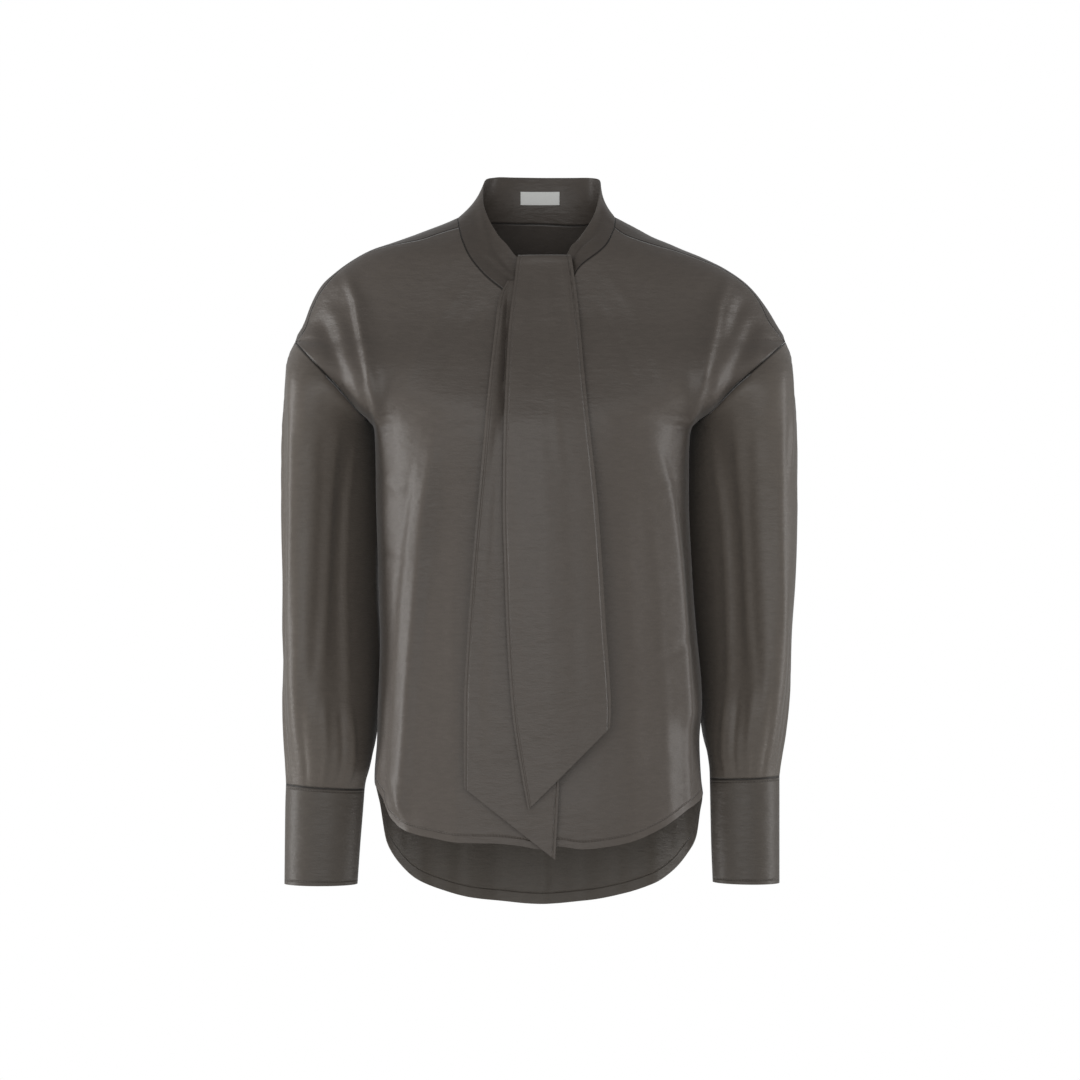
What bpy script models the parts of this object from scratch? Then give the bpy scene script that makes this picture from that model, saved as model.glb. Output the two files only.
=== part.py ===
# A woman's satin blouse with scarf ends at the neck, in the shape it has when worn.
# Millimetres in the tables, metres in the meshes. +Z up, the wearer faces -Y.
# "l" columns are the wearer's right, at -X, which is the left of the picture.
# The origin is the wearer's neck base, between the two shoulder points.
import bpy
import math
import numpy as np

for old in list(bpy.data.objects):
    bpy.data.objects.remove(old, do_unlink=True)

# Driving dimensions
WALL = 1.6            # shirt cloth
TIE_WALL = 2.2        # scarf ends, two layers sewn together
LABEL_WALL = 0.7
SEAM_GAP = 0.3        # space left between two pieces at a seam
SHOULDER_Z = -124.0   # top of the armhole
LABEL_WIDTH = 41.0
LABEL_HEIGHT = 13.4
YOKE_BACK_Z = -112.0  # back yoke seam at the middle

# Numbers of grid steps
SHOULDER_STEPS = 8
NECK_STEPS = 20
SIDE_STEPS = 20
ARM_FRONT_STEPS = 9
ARM_TOP_STEPS = 7
ARM_BACK_STEPS = 8
COLLAR_STEPS = 5
SLEEVE_STEPS = 18
CUFF_STEPS = 4
TIE_STEPS = 6

# Level sections of the torso: z, half width l and r, depth to front and back, squareness
TORSO = [
    (14.0, 58.0, 52.0, 38.0, 44.0, 2.0),
    (5.0, 81.0, 75.0, 50.0, 58.0, 2.0),
    (-2.0, 97.0, 89.0, 53.0, 63.0, 2.0),
    (-10.0, 118.0, 104.0, 56.0, 68.0, 2.0),
    (-16.0, 134.0, 115.0, 60.0, 72.0, 2.0),
    (-23.0, 154.0, 132.0, 64.0, 76.0, 2.0),
    (-29.0, 172.0, 146.0, 67.0, 79.0, 2.0),
    (-38.0, 189.5, 168.0, 71.0, 83.0, 2.0),
    (-50.0, 207.0, 192.0, 74.0, 87.0, 2.0),
    (-66.0, 224.5, 214.0, 78.0, 91.0, 2.0),
    (-85.0, 235.0, 230.0, 83.0, 95.0, 2.0),
    (-106.0, 243.0, 243.0, 89.0, 99.0, 2.05),
    (-124.0, 251.5, 252.0, 97.0, 102.0, 2.1),
    (-160.0, 251.5, 252.0, 112.0, 105.0, 2.3),
    (-200.0, 178.5, 164.0, 124.0, 106.0, 2.7),
    (-214.0, 169.5, 153.5, 125.0, 105.0, 2.75),
    (-240.0, 168.5, 152.5, 123.0, 103.0, 2.7),
    (-286.0, 168.0, 152.5, 117.0, 98.0, 2.6),
    (-348.0, 166.0, 155.0, 112.0, 96.0, 2.5),
    (-390.0, 165.0, 157.5, 111.0, 97.0, 2.5),
    (-430.0, 163.8, 161.0, 112.0, 100.0, 2.5),
    (-472.0, 165.0, 165.0, 114.0, 104.0, 2.5),
    (-492.0, 166.0, 166.0, 115.0, 105.0, 2.5),
    (-534.0, 167.0, 163.5, 117.0, 108.0, 2.5),
    (-570.0, 169.5, 165.0, 119.0, 110.0, 2.6),
    (-600.0, 169.0, 168.0, 121.0, 111.0, 2.6),
    (-720.0, 168.0, 168.0, 121.0, 111.0, 2.6),
]
# Armholes: top x and z, armpit x and z, reach to front and back
ARMHOLE = {
    -1: (-251.5, -124.0, -177.0, -202.0, 68.0, 76.0),
    1: (252.0, -124.0, 163.0, -203.0, 68.0, 76.0),
}
# Seam of yoke and front, from the armhole to the neck: x, z
YOKE_L = [(-244.5, -124.5), (-240.5, -113.0), (-233.5, -92.0), (-224.5, -74.0), (-207.0, -53.0),
          (-189.5, -39.5), (-172.0, -31.0), (-154.0, -26.7), (-122.0, -21.3), (-101.0, -14.4),
          (-82.5, -9.0)]
YOKE_R = [(246.0, -126.0), (234.0, -104.6), (225.0, -85.0), (213.0, -69.0), (195.0, -55.0),
          (177.0, -46.0), (142.0, -33.6), (115.4, -26.5), (88.6, -17.5), (76.0, -9.0)]
# Front neckline, from the l end of the yoke seam to the r end: x, z
NECK_FRONT = [(-82.5, -9.0), (-79.0, -23.0), (-71.0, -40.5), (-57.0, -58.0), (-42.0, -71.0),
              (-29.0, -80.5), (-12.0, -89.0), (6.0, -92.0), (20.0, -82.0), (31.0, -66.0),
              (41.0, -50.0), (60.0, -35.0), (69.0, -25.0), (76.0, -9.0)]
# Neckline round the back, same ends: x, y
NECK_BACK = [(-82.5, -40.0), (-84.0, -14.0), (-80.0, 14.0), (-64.0, 40.0), (-34.0, 55.0), (0.0, 60.0),
             (34.0, 56.0), (60.0, 41.0), (74.0, 14.0), (77.0, -14.0), (76.0, -40.0)]
# Hems: x, z, as they hang
HEM_FRONT = [(-169.5, -571.6), (-157.0, -590.0), (-150.5, -609.0), (-133.0, -621.0), (-106.6, -627.0),
             (-81.0, -630.5), (-46.0, -630.8), (-20.0, -633.2), (0.0, -636.4), (17.0, -633.6),
             (43.0, -636.6), (69.0, -634.2), (96.0, -628.5), (117.4, -620.0), (135.0, -609.6),
             (150.5, -599.0), (166.0, -584.0)]
HEM_BACK = [(-169.5, -571.6), (-166.0, -600.0), (-159.5, -642.4), (-147.7, -665.0), (-128.9, -683.6),
            (-105.8, -695.6), (-74.0, -705.3), (-42.3, -709.5), (0.0, -712.7), (45.5, -709.5),
            (87.8, -701.0), (116.4, -690.3), (138.3, -674.9), (153.5, -655.6), (162.2, -636.2),
            (166.0, -606.5), (166.0, -584.0)]
# Top edge of the collar, round from the back over the l side: x, y, z
COLLAR_TOP = [(2.0, 57.0, 50.6), (-26.0, 55.0, 50.8), (-47.0, 45.0, 50.0), (-57.0, 22.0, 43.5),
              (-58.5, -10.0, 22.0), (-54.2, -32.0, 4.6), (-42.7, -50.0, -17.3), (-35.0, -56.0, -27.0),
              (-28.5, -60.5, -42.5), (-14.0, -64.5, -42.7), (0.0, -65.5, -42.7), (14.0, -64.5, -42.7),
              (29.0, -60.0, -42.5), (36.0, -55.0, -28.0), (41.5, -51.0, -21.0), (53.1, -36.0, -0.9),
              (59.0, -18.0, 16.5), (62.0, 8.0, 36.0),
              (61.0, 28.0, 46.0), (52.1, 46.0, 49.6), (30.0, 55.0, 50.4)]
# Folds laid into the torso: side of the body (-1 front, 1 back), half width, height, then x, z along it
FOLDS = [
    (-1, 10.0, 7.0, [(-212.0, -66.0), (-197.0, -113.0), (-189.5, -144.0), (-179.0, -181.0),
                     (-170.0, -218.0)]),
    (-1, 9.0, -4.0, [(-226.0, -96.0), (-212.0, -130.0), (-205.0, -150.0), (-192.0, -176.0)]),
    (-1, 10.0, 7.0, [(203.0, -72.0), (190.0, -105.0), (184.0, -140.0), (172.0, -181.0), (158.0, -218.0)]),
    (-1, 9.0, -4.0, [(222.0, -98.0), (208.0, -132.0), (199.0, -152.0), (184.0, -178.0)]),
    (-1, 13.0, 4.5, [(-112.0, -215.0), (-119.0, -275.0), (-130.0, -340.0), (-137.0, -430.0),
                     (-141.0, -505.0), (-146.0, -590.0)]),
    (-1, 13.0, 4.0, [(112.0, -220.0), (128.0, -290.0), (136.0, -356.0), (142.0, -430.0), (148.0, -500.0)]),
    (-1, 16.0, -3.0, [(-92.0, -260.0), (-98.0, -380.0), (-104.0, -520.0), (-104.0, -640.0)]),
    (-1, 16.0, -3.0, [(98.0, -270.0), (108.0, -400.0), (112.0, -540.0), (110.0, -640.0)]),
    (1, 16.0, 5.0, [(-96.0, -150.0), (-112.0, -330.0), (-118.0, -520.0), (-120.0, -720.0)]),
    (1, 16.0, 5.0, [(92.0, -150.0), (104.0, -330.0), (114.0, -520.0), (116.0, -720.0)]),
    (1, 18.0, 4.0, [(-26.0, -160.0), (-36.0, -380.0), (-44.0, -720.0)]),
    (1, 18.0, 4.0, [(30.0, -150.0), (36.0, -380.0), (44.0, -720.0)]),
    (1, 11.0, 6.0, [(-198.0, -110.0), (-186.0, -150.0), (-172.0, -205.0)]),
    (1, 11.0, 6.0, [(192.0, -110.0), (176.0, -150.0), (158.0, -205.0)]),
]
# Sleeve rings below the armhole:
# z outer, z inner, x outer, x inner, y of the middle, half depth, lean to the back
SLEEVE = {
    -1: [
        (-133.0, -203.5, -256.5, -183.5, 1.0, 74.5, 0.0),
        (-147.0, -210.0, -259.0, -187.5, 2.0, 75.0, 0.0),
        (-170.0, -223.0, -260.0, -186.5, 4.0, 74.0, 3.0),
        (-200.0, -242.0, -261.3, -180.0, 8.0, 70.0, 11.0),
        (-235.0, -265.0, -262.3, -172.0, 10.0, 67.0, 20.0),
        (-275.0, -290.0, -262.6, -167.0, 12.0, 64.0, 28.0),
        (-320.0, -325.0, -262.6, -166.0, 14.0, 62.0, 30.0),
        (-370.0, -370.0, -262.0, -166.0, 15.0, 62.0, 30.0),
        (-420.0, -420.0, -262.6, -165.0, 15.0, 63.0, 28.0),
        (-465.0, -465.0, -262.6, -164.5, 14.0, 64.0, 24.0),
        (-505.0, -505.0, -262.6, -168.5, 12.0, 61.0, 14.0),
        (-535.0, -536.0, -262.3, -171.5, 10.0, 55.0, 6.0),
        (-558.0, -561.0, -262.0, -176.0, 9.0, 47.0, 0.0),
        (-572.0, -577.0, -261.8, -180.5, 9.0, 39.0, 0.0),
        (-579.0, -584.0, -261.6, -181.5, 9.0, 35.5, 0.0),
    ],
    1: [
        (-132.0, -204.5, 256.0, 169.5, 1.0, 74.5, 0.0),
        (-146.0, -211.0, 258.0, 173.5, 2.0, 75.0, 0.0),
        (-168.0, -224.0, 259.2, 173.0, 4.0, 74.0, 3.0),
        (-200.0, -242.0, 261.3, 167.0, 8.0, 70.0, 12.0),
        (-235.0, -265.0, 262.3, 159.0, 10.0, 67.0, 22.0),
        (-275.0, -290.0, 262.5, 153.0, 12.0, 64.0, 31.0),
        (-320.0, -325.0, 262.2, 152.0, 14.0, 62.0, 33.0),
        (-370.0, -370.0, 261.0, 154.5, 15.0, 62.0, 33.0),
        (-420.0, -420.0, 258.0, 159.0, 15.0, 62.0, 30.0),
        (-462.0, -462.0, 256.0, 164.0, 14.0, 60.0, 24.0),
        (-500.0, -500.0, 253.3, 167.0, 12.0, 57.0, 14.0),
        (-530.0, -530.0, 250.7, 170.0, 10.0, 51.0, 6.0),
        (-550.0, -552.0, 248.6, 174.0, 9.0, 44.0, 0.0),
        (-564.0, -566.0, 247.0, 175.6, 9.0, 37.0, 0.0),
        (-571.0, -573.0, 246.6, 175.8, 9.0, 34.0, 0.0),
    ],
}
# Folds down the sleeves: angle at the top and at the bottom, half width in degrees, height, z from and to
SLEEVE_FOLDS = {
    -1: [(200.0, 188.0, 13.0, 3.5, -170.0, -540.0), (236.0, 214.0, 11.0, -2.5, -200.0, -560.0),
         (262.0, 240.0, 15.0, 3.5, -220.0, -540.0), (300.0, 280.0, 14.0, -3.0, -240.0, -560.0),
         (60.0, 70.0, 18.0, 4.0, -200.0, -560.0), (110.0, 120.0, 18.0, -3.5, -200.0, -550.0),
         (150.0, 150.0, 16.0, 3.5, -180.0, -540.0)],
    1: [(-20.0, -12.0, 13.0, 3.5, -170.0, -540.0), (-52.0, -38.0, 11.0, -2.5, -200.0, -560.0),
        (-84.0, -66.0, 15.0, 3.5, -220.0, -540.0), (-118.0, -100.0, 14.0, -3.0, -240.0, -560.0),
        (120.0, 110.0, 18.0, 4.0, -200.0, -560.0), (66.0, 62.0, 18.0, -3.5, -200.0, -550.0),
        (30.0, 30.0, 16.0, 3.5, -180.0, -540.0)],
}
# Cuff rings: z outer, z inner, x outer, x inner, y of the middle, half depth
CUFF = {
    -1: [(-579.0, -584.0, -261.6, -181.5, 9.0, 35.5), (-600.0, -604.0, -262.3, -183.0, 9.0, 34.5),
         (-640.0, -641.0, -262.8, -186.0, 9.0, 33.5), (-682.0, -682.0, -263.2, -188.9, 9.0, 33.0)],
    1: [(-571.0, -573.0, 246.6, 175.8, 9.0, 34.0), (-596.0, -597.0, 246.6, 176.3, 9.0, 33.0),
        (-640.0, -640.0, 246.6, 177.2, 9.0, 32.5), (-681.0, -680.0, 246.6, 178.8, 9.0, 32.0)],
}
# Scarf ends, across each row: x, y, z of the l edge, x, y, z of the r edge, belly forward
TIE_UPPER = [
    (-20.0, -57.5, -68.0, 20.0, -57.5, -68.0, 4.0),
    (-22.0, -56.5, -54.0, 22.0, -56.5, -54.0, 4.0),
    (-24.0, -56.8, -45.0, 24.0, -56.8, -45.0, 4.3),
    (-25.0, -58.6, -41.0, 25.0, -58.6, -41.0, 4.0),
    (-26.0, -63.5, -39.9, 26.0, -63.5, -39.9, 3.5),
    (-28.0, -69.0, -41.5, 31.0, -71.5, -41.5, 2.0),
    (-29.0, -72.5, -50.0, 37.0, -76.2, -50.0, 0.3),
    (-29.5, -79.2, -64.0, 39.3, -81.6, -64.0, 0.5),
    (-30.0, -89.8, -84.0, 39.5, -87.2, -84.0, 1.5),
    (-31.5, -103.0, -117.0, 40.5, -99.2, -117.0, 2.0),
    (-34.0, -124.0, -165.0, 44.5, -119.6, -165.0, 3.0),
    (-35.0, -131.5, -190.0, 47.0, -127.0, -191.0, 3.5),
    (-36.0, -136.5, -215.0, 49.7, -130.4, -218.0, 4.0),
    (-37.0, -138.0, -288.0, 57.0, -131.0, -288.0, 6.0),
    (-35.5, -138.0, -350.0, 61.5, -131.0, -350.0, 7.0),
    (-33.0, -138.0, -420.0, 65.5, -131.0, -415.0, 6.0),
    (-27.5, -137.0, -500.0, 69.5, -131.0, -470.0, 5.0),
    (-20.5, -137.0, -548.0, 70.4, -131.0, -492.0, 4.0),
    (-11.9, -137.0, -596.0, 69.6, -131.5, -514.5, 3.0),
]
TIE_LOWER = [
    (-33.0, -77.2, -66.0, 9.0, -74.4, -66.0, 0.0),
    (-41.0, -86.6, -84.0, 12.0, -85.2, -84.0, 0.4),
    (-45.0, -98.4, -120.0, 16.0, -98.6, -120.0, 0.6),
    (-50.0, -119.2, -168.0, 18.0, -119.2, -168.0, 1.0),
    (-52.5, -127.6, -193.0, 18.5, -126.4, -193.0, 1.0),
    (-54.8, -131.6, -218.0, 19.0, -128.5, -218.0, 1.0),
    (-61.0, -131.0, -280.0, 20.0, -128.5, -280.0, 1.5),
    (-66.8, -130.0, -344.0, 21.0, -127.5, -344.0, 2.5),
    (-71.5, -126.0, -410.0, 21.0, -127.0, -410.0, 4.0),
    (-75.7, -124.0, -487.0, 20.0, -126.5, -500.0, 5.0),
    (-76.0, -125.0, -532.0, 19.0, -127.0, -566.0, 4.0),
    (-75.7, -126.0, -574.6, 15.0, -128.0, -646.4, 3.0),
]


# Smooth curve through rows, no overshoot between them
def smooth(xs, ys, x):
    xs = np.asarray(xs, float)
    ys = np.asarray(ys, float)
    if xs[0] > xs[-1]:
        xs = xs[::-1]
        ys = ys[::-1]
    step = np.diff(xs)
    slope = np.diff(ys) / step
    m = np.zeros(len(xs))
    m[0] = slope[0]
    m[-1] = slope[-1]
    for i in range(1, len(xs) - 1):
        if slope[i - 1] * slope[i] > 0.0:
            w1 = 2.0 * step[i] + step[i - 1]
            w2 = step[i] + 2.0 * step[i - 1]
            m[i] = (w1 + w2) / (w1 / slope[i - 1] + w2 / slope[i])
    x = np.clip(x, xs[0], xs[-1])
    k = np.clip(np.searchsorted(xs, x) - 1, 0, len(xs) - 2)
    h = xs[k + 1] - xs[k]
    t = (x - xs[k]) / h
    return ((2 * t ** 3 - 3 * t ** 2 + 1) * ys[k] + (t ** 3 - 2 * t ** 2 + t) * h * m[k]
            + (3 * t ** 2 - 2 * t ** 3) * ys[k + 1] + (t ** 3 - t ** 2) * h * m[k + 1])


# Even points along a smooth curve through given points; closed=True comes back to the first
def curve(points, count, closed=False, fine=24):
    pts = np.asarray(points, float)
    if closed:
        pts = np.vstack([pts, pts[:1]])
    n = len(pts)
    out = []
    for i in range(n - 1):
        a = pts[i]
        b = pts[i + 1]
        before = pts[i - 1] if i > 0 else (pts[n - 2] if closed else 2 * a - b)
        after = pts[i + 2] if i + 2 < n else (pts[1] if closed else 2 * b - a)
        for s in range(fine):
            t = s / fine
            out.append(0.5 * (2 * a + (b - before) * t + (2 * before - 5 * a + 4 * b - after) * t ** 2
                              + (3 * a - before - 3 * b + after) * t ** 3))
    out.append(pts[-1])
    out = np.array(out)
    run = np.concatenate([[0.0], np.cumsum(np.linalg.norm(np.diff(out, axis=0), axis=1))])
    want = np.linspace(0.0, run[-1], count + 1)
    return np.stack([np.interp(want, run, out[:, k]) for k in range(out.shape[1])], axis=1)


TZ = [r[0] for r in TORSO]
TCOL = {name: [r[i + 1] for r in TORSO] for i, name in enumerate(("l", "r", "front", "back", "square"))}


# Half width, depth and squareness of the torso at a height,
# on one side (-1 l, 1 r) and face (-1 front, 1 back)
def section(z, side, face):
    n = float(smooth(TZ, TCOL["square"], z))
    depth = float(smooth(TZ, TCOL["front" if face < 0 else "back"], z))
    width = float(smooth(TZ, TCOL["l" if side < 0 else "r"], z))
    x1, z1, x2, z2, front, back = ARMHOLE[side]
    if z2 < z < z1:
        t = (z1 - z) / (z1 - z2)
        reach = (front if face < 0 else back) * 2.0 * math.sqrt(t * (1.0 - t))
        width = abs(x1 + (x2 - x1) * t) / (1.0 - (reach / depth) ** n) ** (1.0 / n)
    return width, depth, n


# How far outside the torso's form a point is: 0 on it
def outside(p):
    w, d, n = section(p[2], -1 if p[0] < 0 else 1, -1 if p[1] < 0 else 1)
    return (abs(p[0]) / w) ** n + (abs(p[1]) / d) ** n - 1.0


def torso_normal(p):
    p = np.asarray(p, float)
    g = np.zeros(3)
    for k, h in enumerate((0.5, 0.5, 2.0)):
        e = np.zeros(3)
        e[k] = h
        g[k] = (outside(p + e) - outside(p - e)) / (2.0 * h)
    return g / np.linalg.norm(g)


def fold_height(x, z, face):
    total = 0.0
    p = np.array([x, z])
    for side, width, height, path in FOLDS:
        if side != face:
            continue
        path = np.asarray(path, float)
        seg = np.diff(path, axis=0)
        length = np.linalg.norm(seg, axis=1)
        t = np.clip(((p - path[:-1]) * seg).sum(axis=1) / length ** 2, 0.0, 1.0)
        dist = np.linalg.norm(p - (path[:-1] + seg * t[:, None]), axis=1)
        k = int(np.argmin(dist))
        run = (length[:k].sum() + t[k] * length[k]) / length.sum()
        fade = min(1.0, run / 0.2)
        if path[-1, 1] > -300.0:
            fade = min(fade, max(0.0, (0.96 - run) / 0.3))
        total += height * fade * math.exp(-(dist[k] / width) ** 2)
    return total


# A point of the torso's form with the folds on it
def folded(p):
    p = np.asarray(p, float)
    face = -1 if p[1] < 0 else 1
    near = min(1.0, abs(p[1]) / 40.0)
    return p + torso_normal(p) * fold_height(p[0], p[2], face) * near


# A point on the front or back at x and z
def at_xz(x, z, face):
    w, d, n = section(z, -1 if x < 0 else 1, face)
    return np.array([x, face * d * max(0.0, 1.0 - (abs(x) / w) ** n) ** (1.0 / n), z])


# A point on top of the shoulders at x and y
def at_xy(x, y):
    lo = -175.0
    hi = 14.0
    for k in range(40):
        mid = 0.5 * (lo + hi)
        if outside((x, y, mid)) > 0.0:
            hi = mid
        else:
            lo = mid
    return np.array([x, y, 0.5 * (lo + hi)])


# Half section between the armholes: x, y and a share that runs from 0 at the l edge to 1 at the r edge.
# It is measured along the cloth at the sides and straight across at the shoulders.
def half_section(z, face):
    a = np.linspace(math.pi, 0.0, 181)
    c = np.cos(a)
    s = np.sin(a)
    wl, d, n = section(z, -1, face)
    wr = section(z, 1, face)[0]
    x = np.where(c < 0, -wl, wr) * np.abs(c) ** (2.0 / n)
    y = face * d * np.abs(s) ** (2.0 / n)
    edges = []
    for side in (-1, 1):
        x1, z1, x2, z2 = ARMHOLE[side][:4]
        if z2 < z < z1:
            edges.append(x1 + (x2 - x1) * (z1 - z) / (z1 - z2))
        elif z >= z1:
            edges.append(x1)
        else:
            edges.append(side * (wl if side < 0 else wr))
    keep = (x > edges[0] + 0.01) & (x < edges[1] - 0.01)
    x = x[keep]
    y = y[keep]
    if z < SHOULDER_Z:
        ends = [at_xz(e, z, face) for e in edges]
        x = np.concatenate([[ends[0][0]], x, [ends[1][0]]])
        y = np.concatenate([[ends[0][1]], y, [ends[1][1]]])
    run = np.concatenate([[0.0], np.cumsum(np.hypot(np.diff(x), np.diff(y)))])
    cloth = run / run[-1]
    straight = (x - edges[0]) / (edges[1] - edges[0])
    w = min(1.0, max(0.0, (-148.0 - z) / 40.0))
    w = w * w * (3.0 - 2.0 * w)
    return x, y, w * cloth + (1.0 - w) * straight


def share_of(x, z, face):
    xs, ys, q = half_section(z, face)
    return float(np.interp(x, xs, q))


def at_share(q, z, face):
    xs, ys, qs = half_section(z, face)
    x = float(np.interp(q, qs, xs))
    y = float(np.interp(q, qs, ys))
    w, d, n = section(z, -1 if x < 0 else 1, face)
    k = ((abs(x) / w) ** n + (abs(y) / d) ** n) ** (-1.0 / n)
    return np.array([x * k, y * k, z])


# Armhole loop by angle: 0 at the armpit, 180 at the top, through the front below 180 and the back above it
def armhole(side, angle):
    x1, z1, x2, z2, front, back = ARMHOLE[side]
    c = math.cos(math.radians(angle))
    s = math.sin(math.radians(angle))
    t = 0.5 + 0.5 * c
    return np.array([x1 + (x2 - x1) * t, -s * (front if s > 0 else back), z1 + (z2 - z1) * t])


# Inner points of a grid from its four edges; a high fade keeps the top edge's shape near the top
def coons(left, right, top, bottom, fade=1.0):
    rows = len(left) - 1
    cols = len(top) - 1
    out = np.zeros((rows + 1, cols + 1, 2))
    for i in range(rows + 1):
        v = i / rows
        a = (1.0 - v) ** fade
        for j in range(cols + 1):
            u = j / cols
            out[i, j] = ((1 - u) * left[i] + u * right[i]
                         + a * (top[j] - (1 - u) * top[0] - u * top[-1])
                         + v * (bottom[j] - (1 - u) * bottom[0] - u * bottom[-1]))
    return out


def unit(v):
    return v / np.linalg.norm(v, axis=-1, keepdims=True)


# Outward directions of a grid, rows down and columns from l to r or round
def grid_normals(grid, closed=False):
    du = np.roll(grid, -1, axis=1) - np.roll(grid, 1, axis=1) if closed else np.gradient(grid, axis=1)
    dv = np.gradient(grid, axis=0)
    return unit(np.cross(dv, du))


# Shared half wall direction at a seam where two pieces meet at an angle
def mitre(n1, n2):
    both = unit(n1 + n2)
    turn = np.clip((both * n1).sum(axis=1), 0.36, 1.0)
    return both / turn[:, None]


# Two directions across a corner joined so that the step clears both by the same amount
def both_ways(k1, k2):
    dot = np.clip((k1 * k2).sum(axis=-1, keepdims=True), -0.6, 1.0)
    return (k1 + k2) / (1.0 + dot)


# Sideways directions that clear a seam, towards the points of the piece beside it
def clearance(points, half, inside, closed=False):
    ahead = np.roll(points, -1, axis=0) - points
    mid = np.roll(half, -1, axis=0) + half
    into = np.roll(inside, -1, axis=0) + inside - np.roll(points, -1, axis=0) - points
    if not closed:
        ahead = ahead[:-1]
        mid = mid[:-1]
        into = into[:-1]
    k = unit(np.cross(ahead, mid))
    k = k * np.sign((into * k).sum(axis=1))[:, None]
    if closed:
        return both_ways(np.roll(k, 1, axis=0), k)
    return both_ways(np.vstack([k[:1], k]), np.vstack([k, k[-1:]]))


# Closed wall from a grid of middle points, its half wall directions and its edge steps
def wall(name, color, grid, half, step, thick, closed=False, rough=0.45, sheen=0.3):
    rows, cols = grid.shape[:2]
    outer = (grid + step + half * thick / 2.0).reshape(-1, 3)
    inner = (grid + step - half * thick / 2.0).reshape(-1, 3)
    verts = np.vstack([outer, inner]) * 0.001
    base = rows * cols
    faces = []
    span = cols if closed else cols - 1
    for i in range(rows - 1):
        for j in range(span):
            k = (j + 1) % cols
            a = i * cols + j
            b = i * cols + k
            c = (i + 1) * cols + k
            d = (i + 1) * cols + j
            faces.append((a, d, c, b))
            faces.append((base + a, base + b, base + c, base + d))
    for j in range(span):
        k = (j + 1) % cols
        last = (rows - 1) * cols
        faces.append((j, k, base + k, base + j))
        faces.append((last + j, base + last + j, base + last + k, last + k))
    if not closed:
        for i in range(rows - 1):
            a = i * cols
            d = (i + 1) * cols
            faces.append((a, base + a, base + d, d))
            b = i * cols + cols - 1
            c = (i + 1) * cols + cols - 1
            faces.append((b, c, base + c, base + b))
    mesh = bpy.data.meshes.new(name)
    mesh.from_pydata([tuple(v) for v in verts], [], faces)
    mesh.validate()
    mesh.update()
    obj = bpy.data.objects.new(name, mesh)
    bpy.context.scene.collection.objects.link(obj)
    volume = 0.0
    for f in mesh.polygons:
        ids = f.vertices
        p0 = mesh.vertices[ids[0]].co
        for m in range(1, len(ids) - 1):
            volume += p0.dot(mesh.vertices[ids[m]].co.cross(mesh.vertices[ids[m + 1]].co))
    if volume < 0.0:
        mesh.flip_normals()
    mat = bpy.data.materials.new(name)
    mat.use_nodes = True
    shader = mat.node_tree.nodes["Principled BSDF"]
    linear = [((c / 255.0 + 0.055) / 1.055) ** 2.4 for c in color]
    shader.inputs["Base Color"].default_value = (linear[0], linear[1], linear[2], 1.0)
    shader.inputs["Roughness"].default_value = rough
    shader.inputs["Sheen Weight"].default_value = sheen
    mesh.materials.append(mat)
    return obj


# Angles on the armholes where the yoke's seams end
YOKE_FRONT_ANGLE = 167.0
YOKE_BACK_ANGLE = 222.0


def angle_steps(a, b, count):
    return np.linspace(a, b, count + 1)


ARM = {}
for side in (-1, 1):
    front = [armhole(side, a) for a in angle_steps(0.0, YOKE_FRONT_ANGLE, ARM_FRONT_STEPS)]
    top = [armhole(side, a) for a in angle_steps(YOKE_FRONT_ANGLE, YOKE_BACK_ANGLE, ARM_TOP_STEPS)]
    back = [armhole(side, a) for a in angle_steps(YOKE_BACK_ANGLE, 360.0, ARM_BACK_STEPS)]
    ARM[side] = {"front": np.array(front), "top": np.array(top), "back": np.array(back)}

# Seams of the torso as points on its form, before the folds
yoke_l = YOKE_L[1:]
seam_l = curve([tuple(ARM[-1]["front"][-1][[0, 2]])] + yoke_l, SHOULDER_STEPS)
seam_r = curve([tuple(ARM[1]["front"][-1][[0, 2]])] + YOKE_R[1:], SHOULDER_STEPS)
FRONT_L = np.array([at_xz(x, z, -1) for x, z in seam_l])
FRONT_R = np.array([at_xz(x, z, -1) for x, z in seam_r])
FRONT_L[0] = ARM[-1]["front"][-1]
FRONT_R[0] = ARM[1]["front"][-1]
NECK_F = np.array([at_xz(x, z, -1) for x, z in curve(NECK_FRONT, NECK_STEPS)])
NECK_F[0] = FRONT_L[-1]
NECK_F[-1] = FRONT_R[-1]
back_ends = [tuple(NECK_F[0][:2])] + NECK_BACK[1:-1] + [tuple(NECK_F[-1][:2])]
NECK_B = np.array([at_xy(x, y) for x, y in curve(back_ends, NECK_STEPS)])
NECK_B[0] = NECK_F[0]
NECK_B[-1] = NECK_F[-1]


# Back yoke seam: three stretches, level in the middle and rising to nothing at the armholes
def back_seam():
    ends = (ARM[-1]["top"][-1], ARM[1]["top"][-1])
    xs = np.concatenate([np.linspace(ends[0][0], -86.0, SHOULDER_STEPS + 1),
                         np.linspace(-86.0, 80.0, NECK_STEPS + 1)[1:],
                         np.linspace(80.0, ends[1][0], SHOULDER_STEPS + 1)[1:]])
    out = []
    for x in xs:
        end = ends[0] if x < 0 else ends[1]
        u = abs(x / end[0])
        out.append(at_xz(x, YOKE_BACK_Z + (end[2] - YOKE_BACK_Z) * u ** 3, 1))
    out[0] = ends[0]
    out[-1] = ends[1]
    return np.array(out)


BACK_SEAM = back_seam()


def side_seam(side):
    bottom = HEM_FRONT[0 if side < 0 else -1][1]
    top = ARM[side]["front"][0]
    zs = np.linspace(top[2], bottom, SIDE_STEPS + 1)
    out = [np.array([side * section(z, side, -1)[0], 0.0, z]) for z in zs]
    out[0] = top
    return np.array(out)


SIDE = {-1: side_seam(-1), 1: side_seam(1)}


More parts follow.
